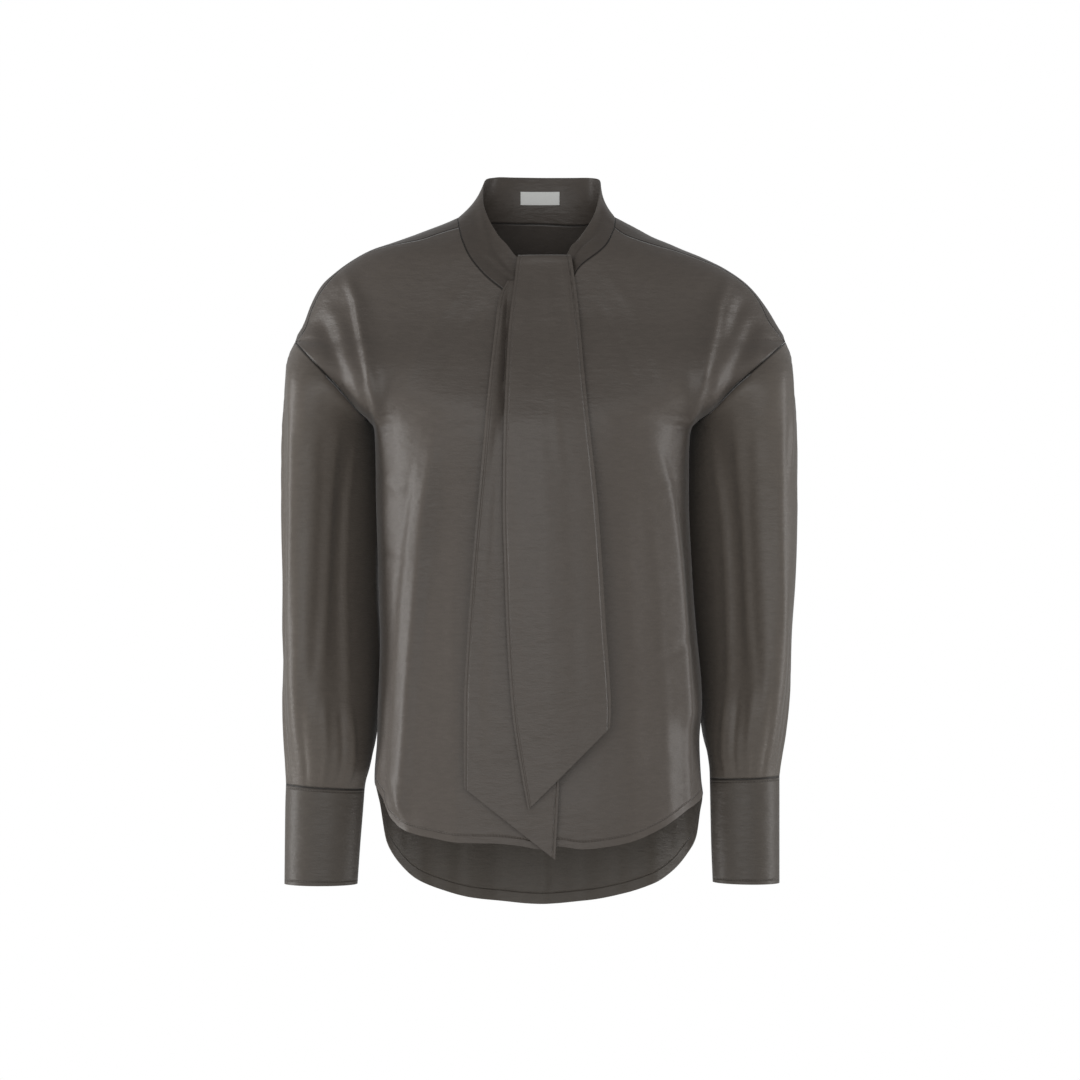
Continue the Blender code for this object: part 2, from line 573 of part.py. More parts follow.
def hem_curve(rows, face, count):
    q = [0.0] + [share_of(x, z, face) for x, z in rows[1:-1]] + [1.0]
    z = [r[1] for r in rows]
    want = np.linspace(0.0, 1.0, count + 1)
    return np.array([(w, float(smooth(q, z, w))) for w in want])


# Torso panel from its four edges, in shares across and heights
def torso_panel(left, right, top, bottom, face):
    left_f = np.array([(0.0, p[2]) for p in left])
    right_f = np.array([(1.0, p[2]) for p in right])
    top_f = np.array([(share_of(p[0], p[2], face), p[2]) for p in top])
    top_f[0] = left_f[0]
    top_f[-1] = right_f[0]
    plan = coons(left_f, right_f, top_f, bottom, 4.5)
    grid = np.array([at_share(q, z, face) for q, z in plan.reshape(-1, 2)]).reshape(plan.shape[:2] + (3,))
    grid[:, 0] = left
    grid[:, -1] = right
    grid[0] = top
    return grid


def fold_all(grid):
    shape = grid.shape
    return np.array([folded(p) for p in grid.reshape(-1, 3)]).reshape(shape)


COLS = 2 * SHOULDER_STEPS + NECK_STEPS
front_top = np.vstack([FRONT_L, NECK_F[1:], FRONT_R[::-1][1:]])
front_left = np.vstack([ARM[-1]["front"][::-1], SIDE[-1][1:]])
front_right = np.vstack([ARM[1]["front"][::-1], SIDE[1][1:]])
front_flat = torso_panel(front_left, front_right, front_top, hem_curve(HEM_FRONT, -1, COLS), -1)
back_left = np.vstack([ARM[-1]["back"], SIDE[-1][1:]])
back_right = np.vstack([ARM[1]["back"], SIDE[1][1:]])
back_flat = torso_panel(back_left, back_right, BACK_SEAM, hem_curve(HEM_BACK, 1, COLS), 1)
yoke_top = np.vstack([FRONT_L, NECK_B[1:], FRONT_R[::-1][1:]])
yoke_plan = coons(ARM[-1]["top"][:, :2], ARM[1]["top"][:, :2], yoke_top[:, :2], BACK_SEAM[:, :2])
yoke_flat = np.array([at_xy(x, y) for x, y in yoke_plan.reshape(-1, 2)]).reshape(yoke_plan.shape[:2] + (3,))
yoke_flat[0] = yoke_top
yoke_flat[-1] = BACK_SEAM
yoke_flat[:, 0] = ARM[-1]["top"]
yoke_flat[:, -1] = ARM[1]["top"]


# Sleeve rings: the armhole first, then the rows of the table
def sleeve_loop(side):
    arm = ARM[side]
    ring = np.vstack([arm["front"], arm["top"][1:], arm["back"][1:-1]])
    return ring


def sleeve_angles():
    return np.concatenate([angle_steps(0.0, YOKE_FRONT_ANGLE, ARM_FRONT_STEPS),
                           angle_steps(YOKE_FRONT_ANGLE, YOKE_BACK_ANGLE, ARM_TOP_STEPS)[1:],
                           angle_steps(YOKE_BACK_ANGLE, 360.0, ARM_BACK_STEPS)[1:-1]])


def ring_points(row, lean, angles):
    zo, zi, xo, xi, ym, depth = row
    c = np.cos(np.radians(angles))
    s = np.sin(np.radians(angles))
    mid = np.array([(xo + xi) / 2.0, ym, (zo + zi) / 2.0])
    arm = np.array([(xi - xo) / 2.0, 0.0, (zi - zo) / 2.0])
    reach = abs(arm[0])
    across = math.sqrt(max(reach ** 2 - lean ** 2, 1.0)) / reach
    out = mid + arm * (c * across)[:, None]
    out[:, 0] -= np.sign(arm[0]) * lean * s
    out[:, 1] -= depth * s
    return out


def sleeve_grid(side):
    rows = SLEEVE[side]
    angles = sleeve_angles()
    x1, z1, x2, z2, front, back = ARMHOLE[side]
    key = [0.0]
    first = (z1 + z2) / 2.0
    for r in rows:
        key.append(first - (r[0] + r[1]) / 2.0)
    cols = [[r[i] for r in rows] for i in range(7)]
    start = (z1, z2, x1, x2, 0.0, (front + back) / 2.0, 0.0)
    cols = [[start[i]] + cols[i] for i in range(7)]
    near = np.array([6.0, 14.0, 26.0, 42.0, 62.0])
    rest = np.linspace(62.0, key[-1], SLEEVE_STEPS - 4)[1:]
    runs = np.concatenate([near, rest])
    grid = [sleeve_loop(side)]
    for run in runs:
        vals = [float(smooth(key, c, run)) for c in cols]
        ring = ring_points(vals[:6], vals[6], angles)
        grid.append(ring)
    grid = np.array(grid)
    normal = grid_normals(grid, True) * -side
    mid_x = grid[:, :, 0].mean(axis=1)
    for i in range(2, len(grid)):
        z = grid[i, :, 2].mean()
        for j, ang in enumerate(angles):
            turn = (180.0 - ang) if side < 0 else ang
            total = 0.0
            for a1, a2, width, height, za, zb in SLEEVE_FOLDS[side]:
                t = (za - z) / (za - zb)
                if t < -0.2 or t > 1.1:
                    continue
                want = a1 + (a2 - a1) * t
                turn = math.degrees(math.atan2(grid[i, j, 1] - 9.0, grid[i, j, 0] - mid_x[i]))
                gap = (turn - want + 540) % 360 - 180
                fade = max(0.0, min(1.0, (t + 0.2) / 0.3, (1.1 - t) / 0.25))
                total += height * fade * math.exp(-(gap / width) ** 2)
            grid[i, j] += normal[i, j] * total
    return grid


SLEEVE_GRID = {side: sleeve_grid(side) for side in (-1, 1)}


def cuff_grid(side):
    rows = CUFF[side]
    angles = sleeve_angles()
    run = np.linspace(0.0, 1.0, CUFF_STEPS + 1)
    key = np.linspace(0.0, 1.0, len(rows))
    grid = []
    for t in run:
        vals = [float(smooth(key, [r[i] for r in rows], t)) for i in range(6)]
        grid.append(ring_points(vals, 0.0, angles))
    grid = np.array(grid)
    grid[0] = SLEEVE_GRID[side][-1]
    return grid


CUFF_GRID = {side: cuff_grid(side) for side in (-1, 1)}

# Collar rings: the neckline first, round from the back over the l side, then up to the top edge
half_way = NECK_STEPS // 2
neck_ring = np.vstack([NECK_B[:half_way + 1][::-1], NECK_F[1:], NECK_B[half_way + 1:-1][::-1]])
top_ring = curve(COLLAR_TOP, len(neck_ring), closed=True)[:-1]
collar = []
for i in range(COLLAR_STEPS + 1):
    t = i / COLLAR_STEPS
    ring = neck_ring * (1 - t) + top_ring * t
    middle = ring.mean(axis=0)
    out = ring - middle
    out[:, 2] = 0.0
    hollow = 3.5 * math.sin(math.pi * t)
    collar.append(ring - unit(out) * hollow)
collar = np.array(collar)[::-1]

# Folded seams, shared by the pieces on both sides
front_grid = fold_all(front_flat)
back_grid = fold_all(back_flat)
yoke_grid = fold_all(yoke_flat)
yoke_grid[0, :SHOULDER_STEPS + 1] = front_grid[0, :SHOULDER_STEPS + 1]
yoke_grid[0, -SHOULDER_STEPS - 1:] = front_grid[0, -SHOULDER_STEPS - 1:]
neck_front = front_grid[0, SHOULDER_STEPS:SHOULDER_STEPS + NECK_STEPS + 1]
neck_back = yoke_grid[0, SHOULDER_STEPS:SHOULDER_STEPS + NECK_STEPS + 1]
collar[-1] = np.vstack([neck_back[:half_way + 1][::-1], neck_front[1:], neck_back[half_way + 1:-1][::-1]])
for side in (-1, 1):
    j = 0 if side < 0 else -1
    loop = np.vstack([front_grid[:ARM_FRONT_STEPS + 1, j][::-1], yoke_grid[:, j][1:],
                      back_grid[:ARM_BACK_STEPS + 1, j][1:-1]])
    SLEEVE_GRID[side][0] = loop


def normals_at(grid):
    return np.array([torso_normal(p) for p in grid.reshape(-1, 3)]).reshape(grid.shape)


# Half wall directions: the torso's own, mitred with the sleeves at the armholes and the collar at the neck
front_half = grid_normals(front_grid)
back_half = -grid_normals(back_grid)
yoke_half = -grid_normals(yoke_grid)
for grid, half, flat in ((front_grid, front_half, front_flat), (back_grid, back_half, back_flat),
                         (yoke_grid, yoke_half, yoke_flat)):
    mid = half[len(half) // 2, half.shape[1] // 2]
    if np.dot(mid, torso_normal(flat[len(half) // 2, half.shape[1] // 2])) < 0:
        half *= -1.0
    edges = [(slice(None), 0), (slice(None), -1), (0, slice(None))]
    if grid is yoke_grid:
        edges.append((-1, slice(None)))
    for e in edges:
        half[e] = normals_at(flat[e])

SLEEVE_HALF = {}
CUFF_HALF = {}
for side in (-1, 1):
    j = 0 if side < 0 else -1
    normal = grid_normals(SLEEVE_GRID[side], True)
    centre = SLEEVE_GRID[side].mean(axis=1, keepdims=True)
    if ((SLEEVE_GRID[side] - centre) * normal).sum() < 0:
        normal = -normal
    body = np.vstack([front_half[:ARM_FRONT_STEPS + 1, j][::-1], yoke_half[:, j][1:],
                      back_half[:ARM_BACK_STEPS + 1, j][1:-1]])
    joint = mitre(body, normal[0])
    normal[0] = joint
    front_half[:ARM_FRONT_STEPS + 1, j] = joint[:ARM_FRONT_STEPS + 1][::-1]
    yoke_half[:, j] = joint[ARM_FRONT_STEPS:ARM_FRONT_STEPS + ARM_TOP_STEPS + 1]
    back = np.vstack([joint[ARM_FRONT_STEPS + ARM_TOP_STEPS:], joint[:1]])
    back_half[:ARM_BACK_STEPS + 1, j] = back
    cuff_n = grid_normals(CUFF_GRID[side], True)
    centre = CUFF_GRID[side].mean(axis=1, keepdims=True)
    if ((CUFF_GRID[side] - centre) * cuff_n).sum() < 0:
        cuff_n = -cuff_n
    joint = mitre(normal[-1], cuff_n[0])
    normal[-1] = joint
    cuff_n[0] = joint
    SLEEVE_HALF[side] = normal
    CUFF_HALF[side] = cuff_n

collar_half = grid_normals(collar, True)
centre = collar.mean(axis=1, keepdims=True)
if ((collar - centre) * collar_half).sum() < 0:
    collar_half = -collar_half
neck_n = np.vstack([yoke_half[0, SHOULDER_STEPS:SHOULDER_STEPS + half_way + 1][::-1],
                    front_half[0, SHOULDER_STEPS + 1:SHOULDER_STEPS + NECK_STEPS + 1],
                    yoke_half[0, SHOULDER_STEPS + half_way + 1:SHOULDER_STEPS + NECK_STEPS][::-1]])
joint = mitre(neck_n, collar_half[-1])
collar_half[-1] = joint
yoke_half[0, SHOULDER_STEPS:SHOULDER_STEPS + half_way + 1] = joint[:half_way + 1][::-1]
front_half[0, SHOULDER_STEPS:SHOULDER_STEPS + NECK_STEPS + 1] = joint[half_way:half_way + NECK_STEPS + 1]
yoke_half[0, SHOULDER_STEPS + half_way:SHOULDER_STEPS + NECK_STEPS + 1] = \
    np.vstack([joint[:1], joint[half_way + NECK_STEPS:][::-1]])


# Steps that keep the seams of a grid clear of their neighbours
def edge_steps(grid, half, top=True, bottom=False, left=True, right=True, closed=False):
    step = np.zeros_like(grid)
    rows, cols = grid.shape[:2]
    down = np.minimum(np.arange(rows) + 2, rows - 1)
    over = np.arange(cols) if closed else np.clip(np.arange(cols), 2, cols - 3)
    parts = []
    if top:
        parts.append(((0, slice(None)), clearance(grid[0], half[0], grid[2, over], closed)))
    if bottom:
        parts.append(((-1, slice(None)), clearance(grid[-1], half[-1], grid[-3, over], closed)))
    if left:
        parts.append(((slice(None), 0), clearance(grid[:, 0], half[:, 0], grid[down, 2])))
    if right:
        parts.append(((slice(None), -1), clearance(grid[:, -1], half[:, -1], grid[down, -3])))
    for where, move in parts:
        now = step[where]
        used = np.linalg.norm(now, axis=1) > 0.0
        step[where] = np.where(used[:, None], both_ways(now, move), move)
    return step * SEAM_GAP / 2.0


wall("front", (90, 85, 81), front_grid, front_half, edge_steps(front_grid, front_half), WALL)
wall("back", (84, 79, 75), back_grid, back_half, edge_steps(back_grid, back_half), WALL)
wall("yoke", (88, 83, 79), yoke_grid, yoke_half, edge_steps(yoke_grid, yoke_half, bottom=True), WALL)
for side, tail in ((-1, "right"), (1, "left")):
    grid = SLEEVE_GRID[side]
    half = SLEEVE_HALF[side]
    step = edge_steps(grid, half, bottom=True, left=False, right=False, closed=True)
    wall("sleeve_" + tail, (82, 78, 74), grid, half, step, WALL, closed=True)
    grid = CUFF_GRID[side]
    half = CUFF_HALF[side]
    step = edge_steps(grid, half, left=False, right=False, closed=True)
    wall("cuff_" + tail, (80, 75, 71), grid, half, step, WALL, closed=True)
step = edge_steps(collar, collar_half, top=False, bottom=True, left=False, right=False, closed=True)
wall("collar", (78, 73, 69), collar, collar_half, step, WALL, closed=True)


# Scarf end: rows across, its belly pushed forward
def tie(rows, per):
    rows = np.asarray(rows, float)
    left = curve(rows[:, :3], per * (len(rows) - 1))
    right = curve(rows[:, 3:6], per * (len(rows) - 1))
    if per == 1:
        left = rows[:, :3]
        right = rows[:, 3:6]
    belly = rows[:, 6]
    grid = np.zeros((len(left), TIE_STEPS + 1, 3))
    for i in range(len(left)):
        for j in range(TIE_STEPS + 1):
            s = j / TIE_STEPS
            p = left[i] * (1 - s) + right[i] * s
            p[1] -= belly[i] * math.sin(math.pi * s)
            grid[i, j] = p
    return grid


for name, rows, color in (("tie_upper", TIE_UPPER, (89, 84, 79)), ("tie_lower", TIE_LOWER, (84, 79, 75))):
    grid = tie(rows, 1)
    half = grid_normals(grid)
    if half[-2, 2, 1] > 0:
        half = -half
    wall(name, color, grid, half, np.zeros_like(grid), TIE_WALL)


# Label inside the back of the collar, on the collar's own points moved in
def on_collar(u, v):
    cols = collar.shape[1]
    rows = collar.shape[0] - 1
    j = int(math.floor(u))
    fu = u - j
    i = min(rows - 1, int(math.floor(v)))
    fv = v - i
    def mix(g):
        a = g[i, j % cols] * (1 - fu) + g[i, (j + 1) % cols] * fu
        b = g[i + 1, j % cols] * (1 - fu) + g[i + 1, (j + 1) % cols] * fu
        return a * (1 - fv) + b * fv
    return mix(collar), mix(collar_half)


pitch = float(np.linalg.norm(collar[1, 1] - collar[1, 0]))
span = LABEL_WIDTH / 2.0 / pitch
rise = float(np.linalg.norm(collar[1, 0] - collar[0, 0]))
v0 = 15.0 / rise
v1 = (15.0 + LABEL_HEIGHT) / rise
us = sorted({-span, span} | {float(k) for k in range(math.ceil(-span), math.floor(span) + 1)})
vs = sorted({v0, v1} | {float(k) for k in range(math.ceil(v0), math.floor(v1) + 1)})
grid = np.zeros((len(vs), len(us), 3))
half = np.zeros_like(grid)
for i, v in enumerate(vs):
    for j, u in enumerate(us):
        p, n = on_collar(u, v)
        grid[i, j] = p - n * (WALL / 2.0 + SEAM_GAP + LABEL_WALL / 2.0)
        half[i, j] = n
wall("label", (200, 202, 198), grid, half, np.zeros_like(grid), LABEL_WALL, rough=0.7, sheen=0.0)
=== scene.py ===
import functools
import math

import bpy
import numpy as np
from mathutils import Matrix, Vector


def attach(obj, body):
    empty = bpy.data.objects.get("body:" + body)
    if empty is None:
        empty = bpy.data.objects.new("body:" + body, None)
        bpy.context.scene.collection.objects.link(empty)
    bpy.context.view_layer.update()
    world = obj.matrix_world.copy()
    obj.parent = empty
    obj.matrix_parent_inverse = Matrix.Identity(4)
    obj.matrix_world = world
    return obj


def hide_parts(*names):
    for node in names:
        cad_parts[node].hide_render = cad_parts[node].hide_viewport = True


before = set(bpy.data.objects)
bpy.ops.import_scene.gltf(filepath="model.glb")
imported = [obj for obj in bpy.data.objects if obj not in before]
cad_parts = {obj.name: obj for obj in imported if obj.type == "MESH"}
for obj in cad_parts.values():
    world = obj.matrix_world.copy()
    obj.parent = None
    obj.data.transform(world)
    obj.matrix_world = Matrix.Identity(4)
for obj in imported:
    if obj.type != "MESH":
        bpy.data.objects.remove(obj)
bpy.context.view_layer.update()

# Front of the blouse: one piece of washed satin, sewn to the yoke, the back, the sleeves and the collar.
# Its hem is a narrow double turn with one row of stitches. It is laid on level sections of the worn form.
TORSO = [
    # z, half width l, half width r, depth to front, depth to back, squareness
    (14, 58, 52, 38, 44, 2),
    (5, 81, 75, 50, 58, 2),
    (-2, 97, 89, 53, 63, 2),
    (-10, 118, 104, 56, 68, 2),
    (-16, 134, 115, 60, 72, 2),
    (-23, 154, 132, 64, 76, 2),
    (-29, 172, 146, 67, 79, 2),
    (-38, 189.5, 168, 71, 83, 2),
    (-50, 207, 192, 74, 87, 2),
    (-66, 224.5, 214, 78, 91, 2),
    (-85, 235, 230, 83, 95, 2),
    (-106, 243, 243, 89, 99, 2.05),
    (-124, 251.5, 252, 97, 102, 2.1),
    (-160, 251.5, 252, 112, 105, 2.3),
    (-200, 178.5, 164, 124, 106, 2.7),
    (-203, 176.4, 163, 124.4, 105.8, 2.71),
    (-214, 169.5, 153.5, 125, 105, 2.75),
    (-240, 168.5, 152.5, 123, 103, 2.7),
    (-286, 168, 152.5, 117, 98, 2.6),
    (-348, 166, 155, 112, 96, 2.5),
    (-390, 165, 157.5, 111, 97, 2.5),
    (-430, 163.8, 161, 112, 100, 2.5),
    (-472, 165, 165, 114, 104, 2.5),
    (-492, 166, 166, 115, 105, 2.5),
    (-534, 167, 163.5, 117, 108, 2.5),
    (-570, 169.5, 165, 119, 110, 2.6),
    (-600, 169, 168, 121, 111, 2.6),
    (-720, 168, 168, 121, 111, 2.6),
]
# Armholes: top x and z, armpit x and z, reach to front and back
ARMHOLE = {
    -1: (-251.5, -124, -177, -202, 68, 76),
    1: (252, -124, 163, -203, 68, 76),
}
YOKE_L = [(-244.5, -124.5), (-240.5, -113), (-233.5, -92), (-224.5, -74), (-207, -53), (-189.5, -39.5),
          (-172, -31), (-154, -26.7), (-122, -21.3), (-101, -14.4), (-82.5, -9)]
YOKE_R = [(246, -126), (234, -104.6), (225, -85), (213, -69), (195, -55), (177, -46), (142, -33.6),
          (115.4, -26.5), (88.6, -17.5), (76, -9)]
NECK_FRONT = [(-82.5, -9), (-79, -23), (-71, -40.5), (-57, -58), (-42, -71), (-29, -80.5), (-12, -89),
              (6, -92), (20, -82), (31, -66), (41, -50), (60, -35), (69, -25), (76, -9)]
NECK_BACK = [(-82.5, -40), (-84, -14), (-80, 14), (-64, 40), (-34, 55), (0, 60), (34, 56), (60, 41),
             (74, 14), (77, -14), (76, -40)]
HEM_FRONT = [(-169.5, -571.6), (-157, -590), (-150.5, -609), (-133, -621), (-106.6, -627),
             (-81, -630.5), (-46, -630.8), (-20, -633.2), (0, -636.4), (17, -633.6), (43, -636.6),
             (69, -634.2), (96, -628.5), (117.4, -620), (135, -609.6), (150.5, -599), (166, -584)]
# Folds and creases of the torso: side (-1 front, 1 back), half width, height, then x, z along it.
# The first fourteen are in the solids too, where the seventh and eighth are twice as deep.
FOLDS = [
    (-1, 10, 7, [(-212, -66), (-197, -113), (-189.5, -144), (-179, -181), (-170, -218)]),
    (-1, 9, -4, [(-226, -96), (-212, -130), (-205, -150), (-192, -176)]),
    (-1, 10, 7, [(203, -72), (190, -105), (184, -140), (172, -181), (158, -218)]),
    (-1, 9, -4, [(222, -98), (208, -132), (199, -152), (184, -178)]),
    (-1, 13, 4.5, [(-112, -215), (-119, -275), (-130, -340), (-137, -430), (-141, -505), (-146, -590)]),
    (-1, 13, 4, [(112, -220), (128, -290), (136, -356), (142, -430), (148, -500)]),
    (-1, 16, -1.5, [(-92, -260), (-98, -380), (-104, -520), (-104, -640)]),
    (-1, 16, -1.5, [(98, -270), (108, -400), (112, -540), (110, -640)]),
    (1, 16, 5, [(-96, -150), (-112, -330), (-118, -520), (-120, -720)]),
    (1, 16, 5, [(92, -150), (104, -330), (114, -520), (116, -720)]),
    (1, 18, 4, [(-26, -160), (-36, -380), (-44, -720)]),
    (1, 18, 4, [(30, -150), (36, -380), (44, -720)]),
    (1, 11, 6, [(-198, -110), (-186, -150), (-172, -205)]),
    (1, 11, 6, [(192, -110), (176, -150), (158, -205)]),
    # drawn from the shoulder to the armpit: a sharp crest with a hollow on the sleeve's side
    (-1, 5.2, 6, [(-201, -48), (-194, -66), (-186, -88), (-181, -116), (-174, -146),
                    (-165, -183), (-160, -217), (-158, -270)]),
    (-1, 9, -6.5, [(-214, -68), (-203, -92), (-194, -118), (-188, -148), (-178, -182)]),
    (-1, 6, -1.6, [(-196, -60), (-187, -100), (-180, -140), (-168, -186)]),
    (-1, 5, 1.2, [(-190, -60), (-172, -110), (-163, -156), (-160, -200)]),
    (-1, 5.4, 5.5, [(195, -54), (187, -74), (179, -95), (174, -122.5), (167, -149),
                    (158, -182), (150, -206), (146, -220), (144, -270)]),
    (-1, 9, -6.5, [(209, -74), (197, -100), (188, -124), (181, -151), (171, -184)]),
    (-1, 6, -1.6, [(190, -66), (179, -108), (171, -148), (156, -190)]),
    (-1, 5, 1.2, [(182, -66), (166, -112), (156, -158), (150, -204)]),
    # slanting drags on the chest, from the neck and the tie
    (-1, 7, 1.4, [(-66, -62), (-96, -96), (-126, -150), (-140, -196)]),
    (-1, 6, -1.2, [(-52, -82), (-84, -128), (-112, -178)]),
    (-1, 7, 1.3, [(62, -52), (92, -92), (118, -150), (132, -200)]),
    (-1, 6, -1.1, [(54, -80), (80, -130), (102, -186)]),
    (-1, 9, -1.5, [(-150, -196), (-110, -206), (-70, -204), (-40, -214)]),
    (-1, 9, -1.4, [(140, -200), (104, -212), (66, -208)]),
    # long soft folds that fall from the bust
    (-1, 6, 0.6, [(-100, -226), (-107, -290), (-119, -370), (-126, -470), (-130, -600)]),
    (-1, 6, 2.6, [(-104, -205), (-110, -256), (-118, -320), (-124, -390), (-131, -470), (-139, -600)]),
    (-1, 5, -1.4, [(-124, -232), (-134, -300), (-144, -390), (-150, -480), (-156, -580)]),
    (-1, 7, 0.4, [(-84, -300), (-88, -420), (-84, -560), (-82, -640)]),
    (-1, 5, 0.6, [(100, -236), (112, -300), (120, -380), (126, -480), (132, -600)]),
    (-1, 5, 2.2, [(116, -224), (129, -280), (138, -350), (145, -440), (149, -510), (150, -590)]),
    (-1, 5, -1.4, [(124, -230), (140, -300), (148, -380), (154, -480), (158, -580)]),
    (-1, 8, 0.4, [(86, -300), (92, -420), (92, -540), (88, -640)]),
    (-1, 6, -0.3, [(70, -380), (72, -480), (68, -640)]),
    (-1, 5, 1, [(-156, -250), (-158, -340), (-158, -440), (-162, -560)]),
    # small bent creases above the side seams
    (-1, 4, 1.1, [(-160, -262), (-146, -276), (-128, -284)]),
    (-1, 4, -0.9, [(-162, -334), (-148, -348), (-134, -352)]),
    (-1, 4, 1, [(146, -256), (130, -272), (116, -278)]),
    (-1, 4, -0.9, [(150, -420), (138, -440), (124, -448)]),
    (-1, 5, 1, [(-150, -560), (-140, -590), (-132, -621)]),
    (-1, 5, -1.2, [(-156, -566), (-149, -590), (-146, -611)]),
    # the back, not seen in the picture, the same kind of folds
    (1, 7, 1.5, [(-66, -150), (-74, -300), (-82, -500), (-86, -700)]),
    (1, 6, -1.4, [(-6, -150), (-2, -320), (2, -520), (4, -712)]),
    (1, 7, 1.4, [(62, -140), (70, -320), (80, -520), (84, -700)]),
    (1, 6, -1.5, [(-140, -180), (-142, -340), (-146, -520), (-148, -650)]),
    (1, 6, -1.5, [(130, -180), (132, -340), (140, -520), (146, -650)]),
    (1, 5, 1.5, [(-182, -120), (-168, -160), (-160, -210)]),
    (1, 5, 1.5, [(176, -124), (162, -164), (148, -214)]),
    (1, 6, 1.2, [(-150, -280), (-120, -300), (-86, -302)]),
    (1, 6, 1.2, [(140, -300), (112, -322), (80, -324)]),
]
WALL = 1.2
SEAM_GAP = 0.3
SHOULDER_STEPS = 60
NECK_STEPS = 88
SIDE_STEPS = 110
ARM_FRONT_STEPS = 58
ARM_TOP_STEPS = 26
ARM_BACK_STEPS = 32
YOKE_FRONT_ANGLE = 167.0
YOKE_BACK_ANGLE = 222.0
YOKE_BACK_Z = -112.0
CURVE_FINE = 24  # steps from one given point of a curve to the next
TORSO_TOP = 14.0
TORSO_LOW = -175.0  # lowest place of the yoke
FLAT_FOLD_Y = 40.0  # folds run out this near to the side line
FOLD_START = 0.2  # shares of a fold's length over which it grows and runs out
FOLD_END = 0.3
SHORT_FOLD_Z = -300.0  # folds that end above this height run out at their lower end too
HALVINGS = 40
CUT_POINTS = 361
SHARE_TOP = -148.0  # from here down the columns take equal shares of the cloth
SHARE_DEPTH = 40.0
MITRE_LIMIT = 0.36
CORNER_LIMIT = -0.6
INNER_CELL = 5  # cells from an edge to the point that says where the cloth lies
FAR_MM = 500.0
SHARP_DEG = 50.0


def smooth(xs, ys, x):
    """Values at x on a curve through xs, ys that never overshoots."""
    xs = np.asarray(xs, float)
    ys = np.asarray(ys, float)
    if xs[0] > xs[-1]:
        xs = xs[::-1]
        ys = ys[::-1]
    step = np.diff(xs)
    slope = np.diff(ys) / step
    m = np.zeros(len(xs))
    m[0] = slope[0]
    m[-1] = slope[-1]
    for i in range(1, len(xs) - 1):
        if slope[i - 1] * slope[i] > 0.0:
            w1 = 2.0 * step[i] + step[i - 1]
            w2 = step[i] + 2.0 * step[i - 1]
            m[i] = (w1 + w2) / (w1 / slope[i - 1] + w2 / slope[i])
    x = np.clip(x, xs[0], xs[-1])
    k = np.clip(np.searchsorted(xs, x) - 1, 0, len(xs) - 2)
    h = xs[k + 1] - xs[k]
    t = (x - xs[k]) / h
    return ((2 * t ** 3 - 3 * t ** 2 + 1) * ys[k] + (t ** 3 - 2 * t ** 2 + t) * h * m[k]
            + (3 * t ** 2 - 2 * t ** 3) * ys[k + 1] + (t ** 3 - t ** 2) * h * m[k + 1])


def curve(points, count, closed=False):
    """A smooth curve through points, as count equal steps."""
    pts = np.asarray(points, float)
    before = pts[-1] if closed else 2 * pts[0] - pts[1]
    after = pts[:2] if closed else 2 * pts[-1:] - pts[-2:-1]
    pts = np.vstack([before, pts, after])
    t = np.arange(CURVE_FINE)[:, None] / CURVE_FINE
    out = []
    for before, a, b, after in zip(pts, pts[1:], pts[2:], pts[3:]):
        out.append(0.5 * (2 * a + (b - before) * t + (2 * before - 5 * a + 4 * b - after) * t ** 2
                          + (3 * a - before - 3 * b + after) * t ** 3))
    out = np.vstack(out + [pts[-2]])
    run = np.concatenate([[0.0], np.cumsum(np.linalg.norm(np.diff(out, axis=0), axis=1))])
    want = np.linspace(0.0, run[-1], count + 1)
    return np.stack([np.interp(want, run, out[:, k]) for k in range(out.shape[1])], axis=1)


def section(z, side, face):
    """Half width, depth and squareness at heights z, on sides (-1, 1) and faces (-1 front, 1 back)."""
    z = np.asarray(z, float)
    side = np.broadcast_to(side, z.shape)
    face = np.broadcast_to(face, z.shape)
    zs = [r[0] for r in TORSO]
    n = smooth(zs, [r[5] for r in TORSO], z)
    depth = np.where(face < 0, smooth(zs, [r[3] for r in TORSO], z), smooth(zs, [r[4] for r in TORSO], z))
    width = np.where(side < 0, smooth(zs, [r[1] for r in TORSO], z), smooth(zs, [r[2] for r in TORSO], z))
    for s in (-1, 1):
        x1, z1, x2, z2, front, back = ARMHOLE[s]
        t = np.clip((z1 - z) / (z1 - z2), 0.0, 1.0)
        reach = np.where(face < 0, front, back) * 2.0 * np.sqrt(t * (1.0 - t))
        inside = (side == s) & (z < z1) & (z > z2)
        cut = np.abs(x1 + (x2 - x1) * t) / (1.0 - (reach / depth) ** n) ** (1.0 / n)
        width = np.where(inside, cut, width)
    return width, depth, n


def outside(p):
    w, d, n = section(p[:, 2], np.where(p[:, 0] < 0, -1, 1), np.where(p[:, 1] < 0, -1, 1))
    return (np.abs(p[:, 0]) / w) ** n + (np.abs(p[:, 1]) / d) ** n - 1.0


def unit(v):
    return v / np.linalg.norm(v, axis=-1, keepdims=True)


def torso_normals(p):
    g = np.zeros_like(p)
    for k, h in enumerate((0.5, 0.5, 2.0)):
        e = np.zeros(3)
        e[k] = h
        g[:, k] = (outside(p + e) - outside(p - e)) / (2.0 * h)
    return unit(g)


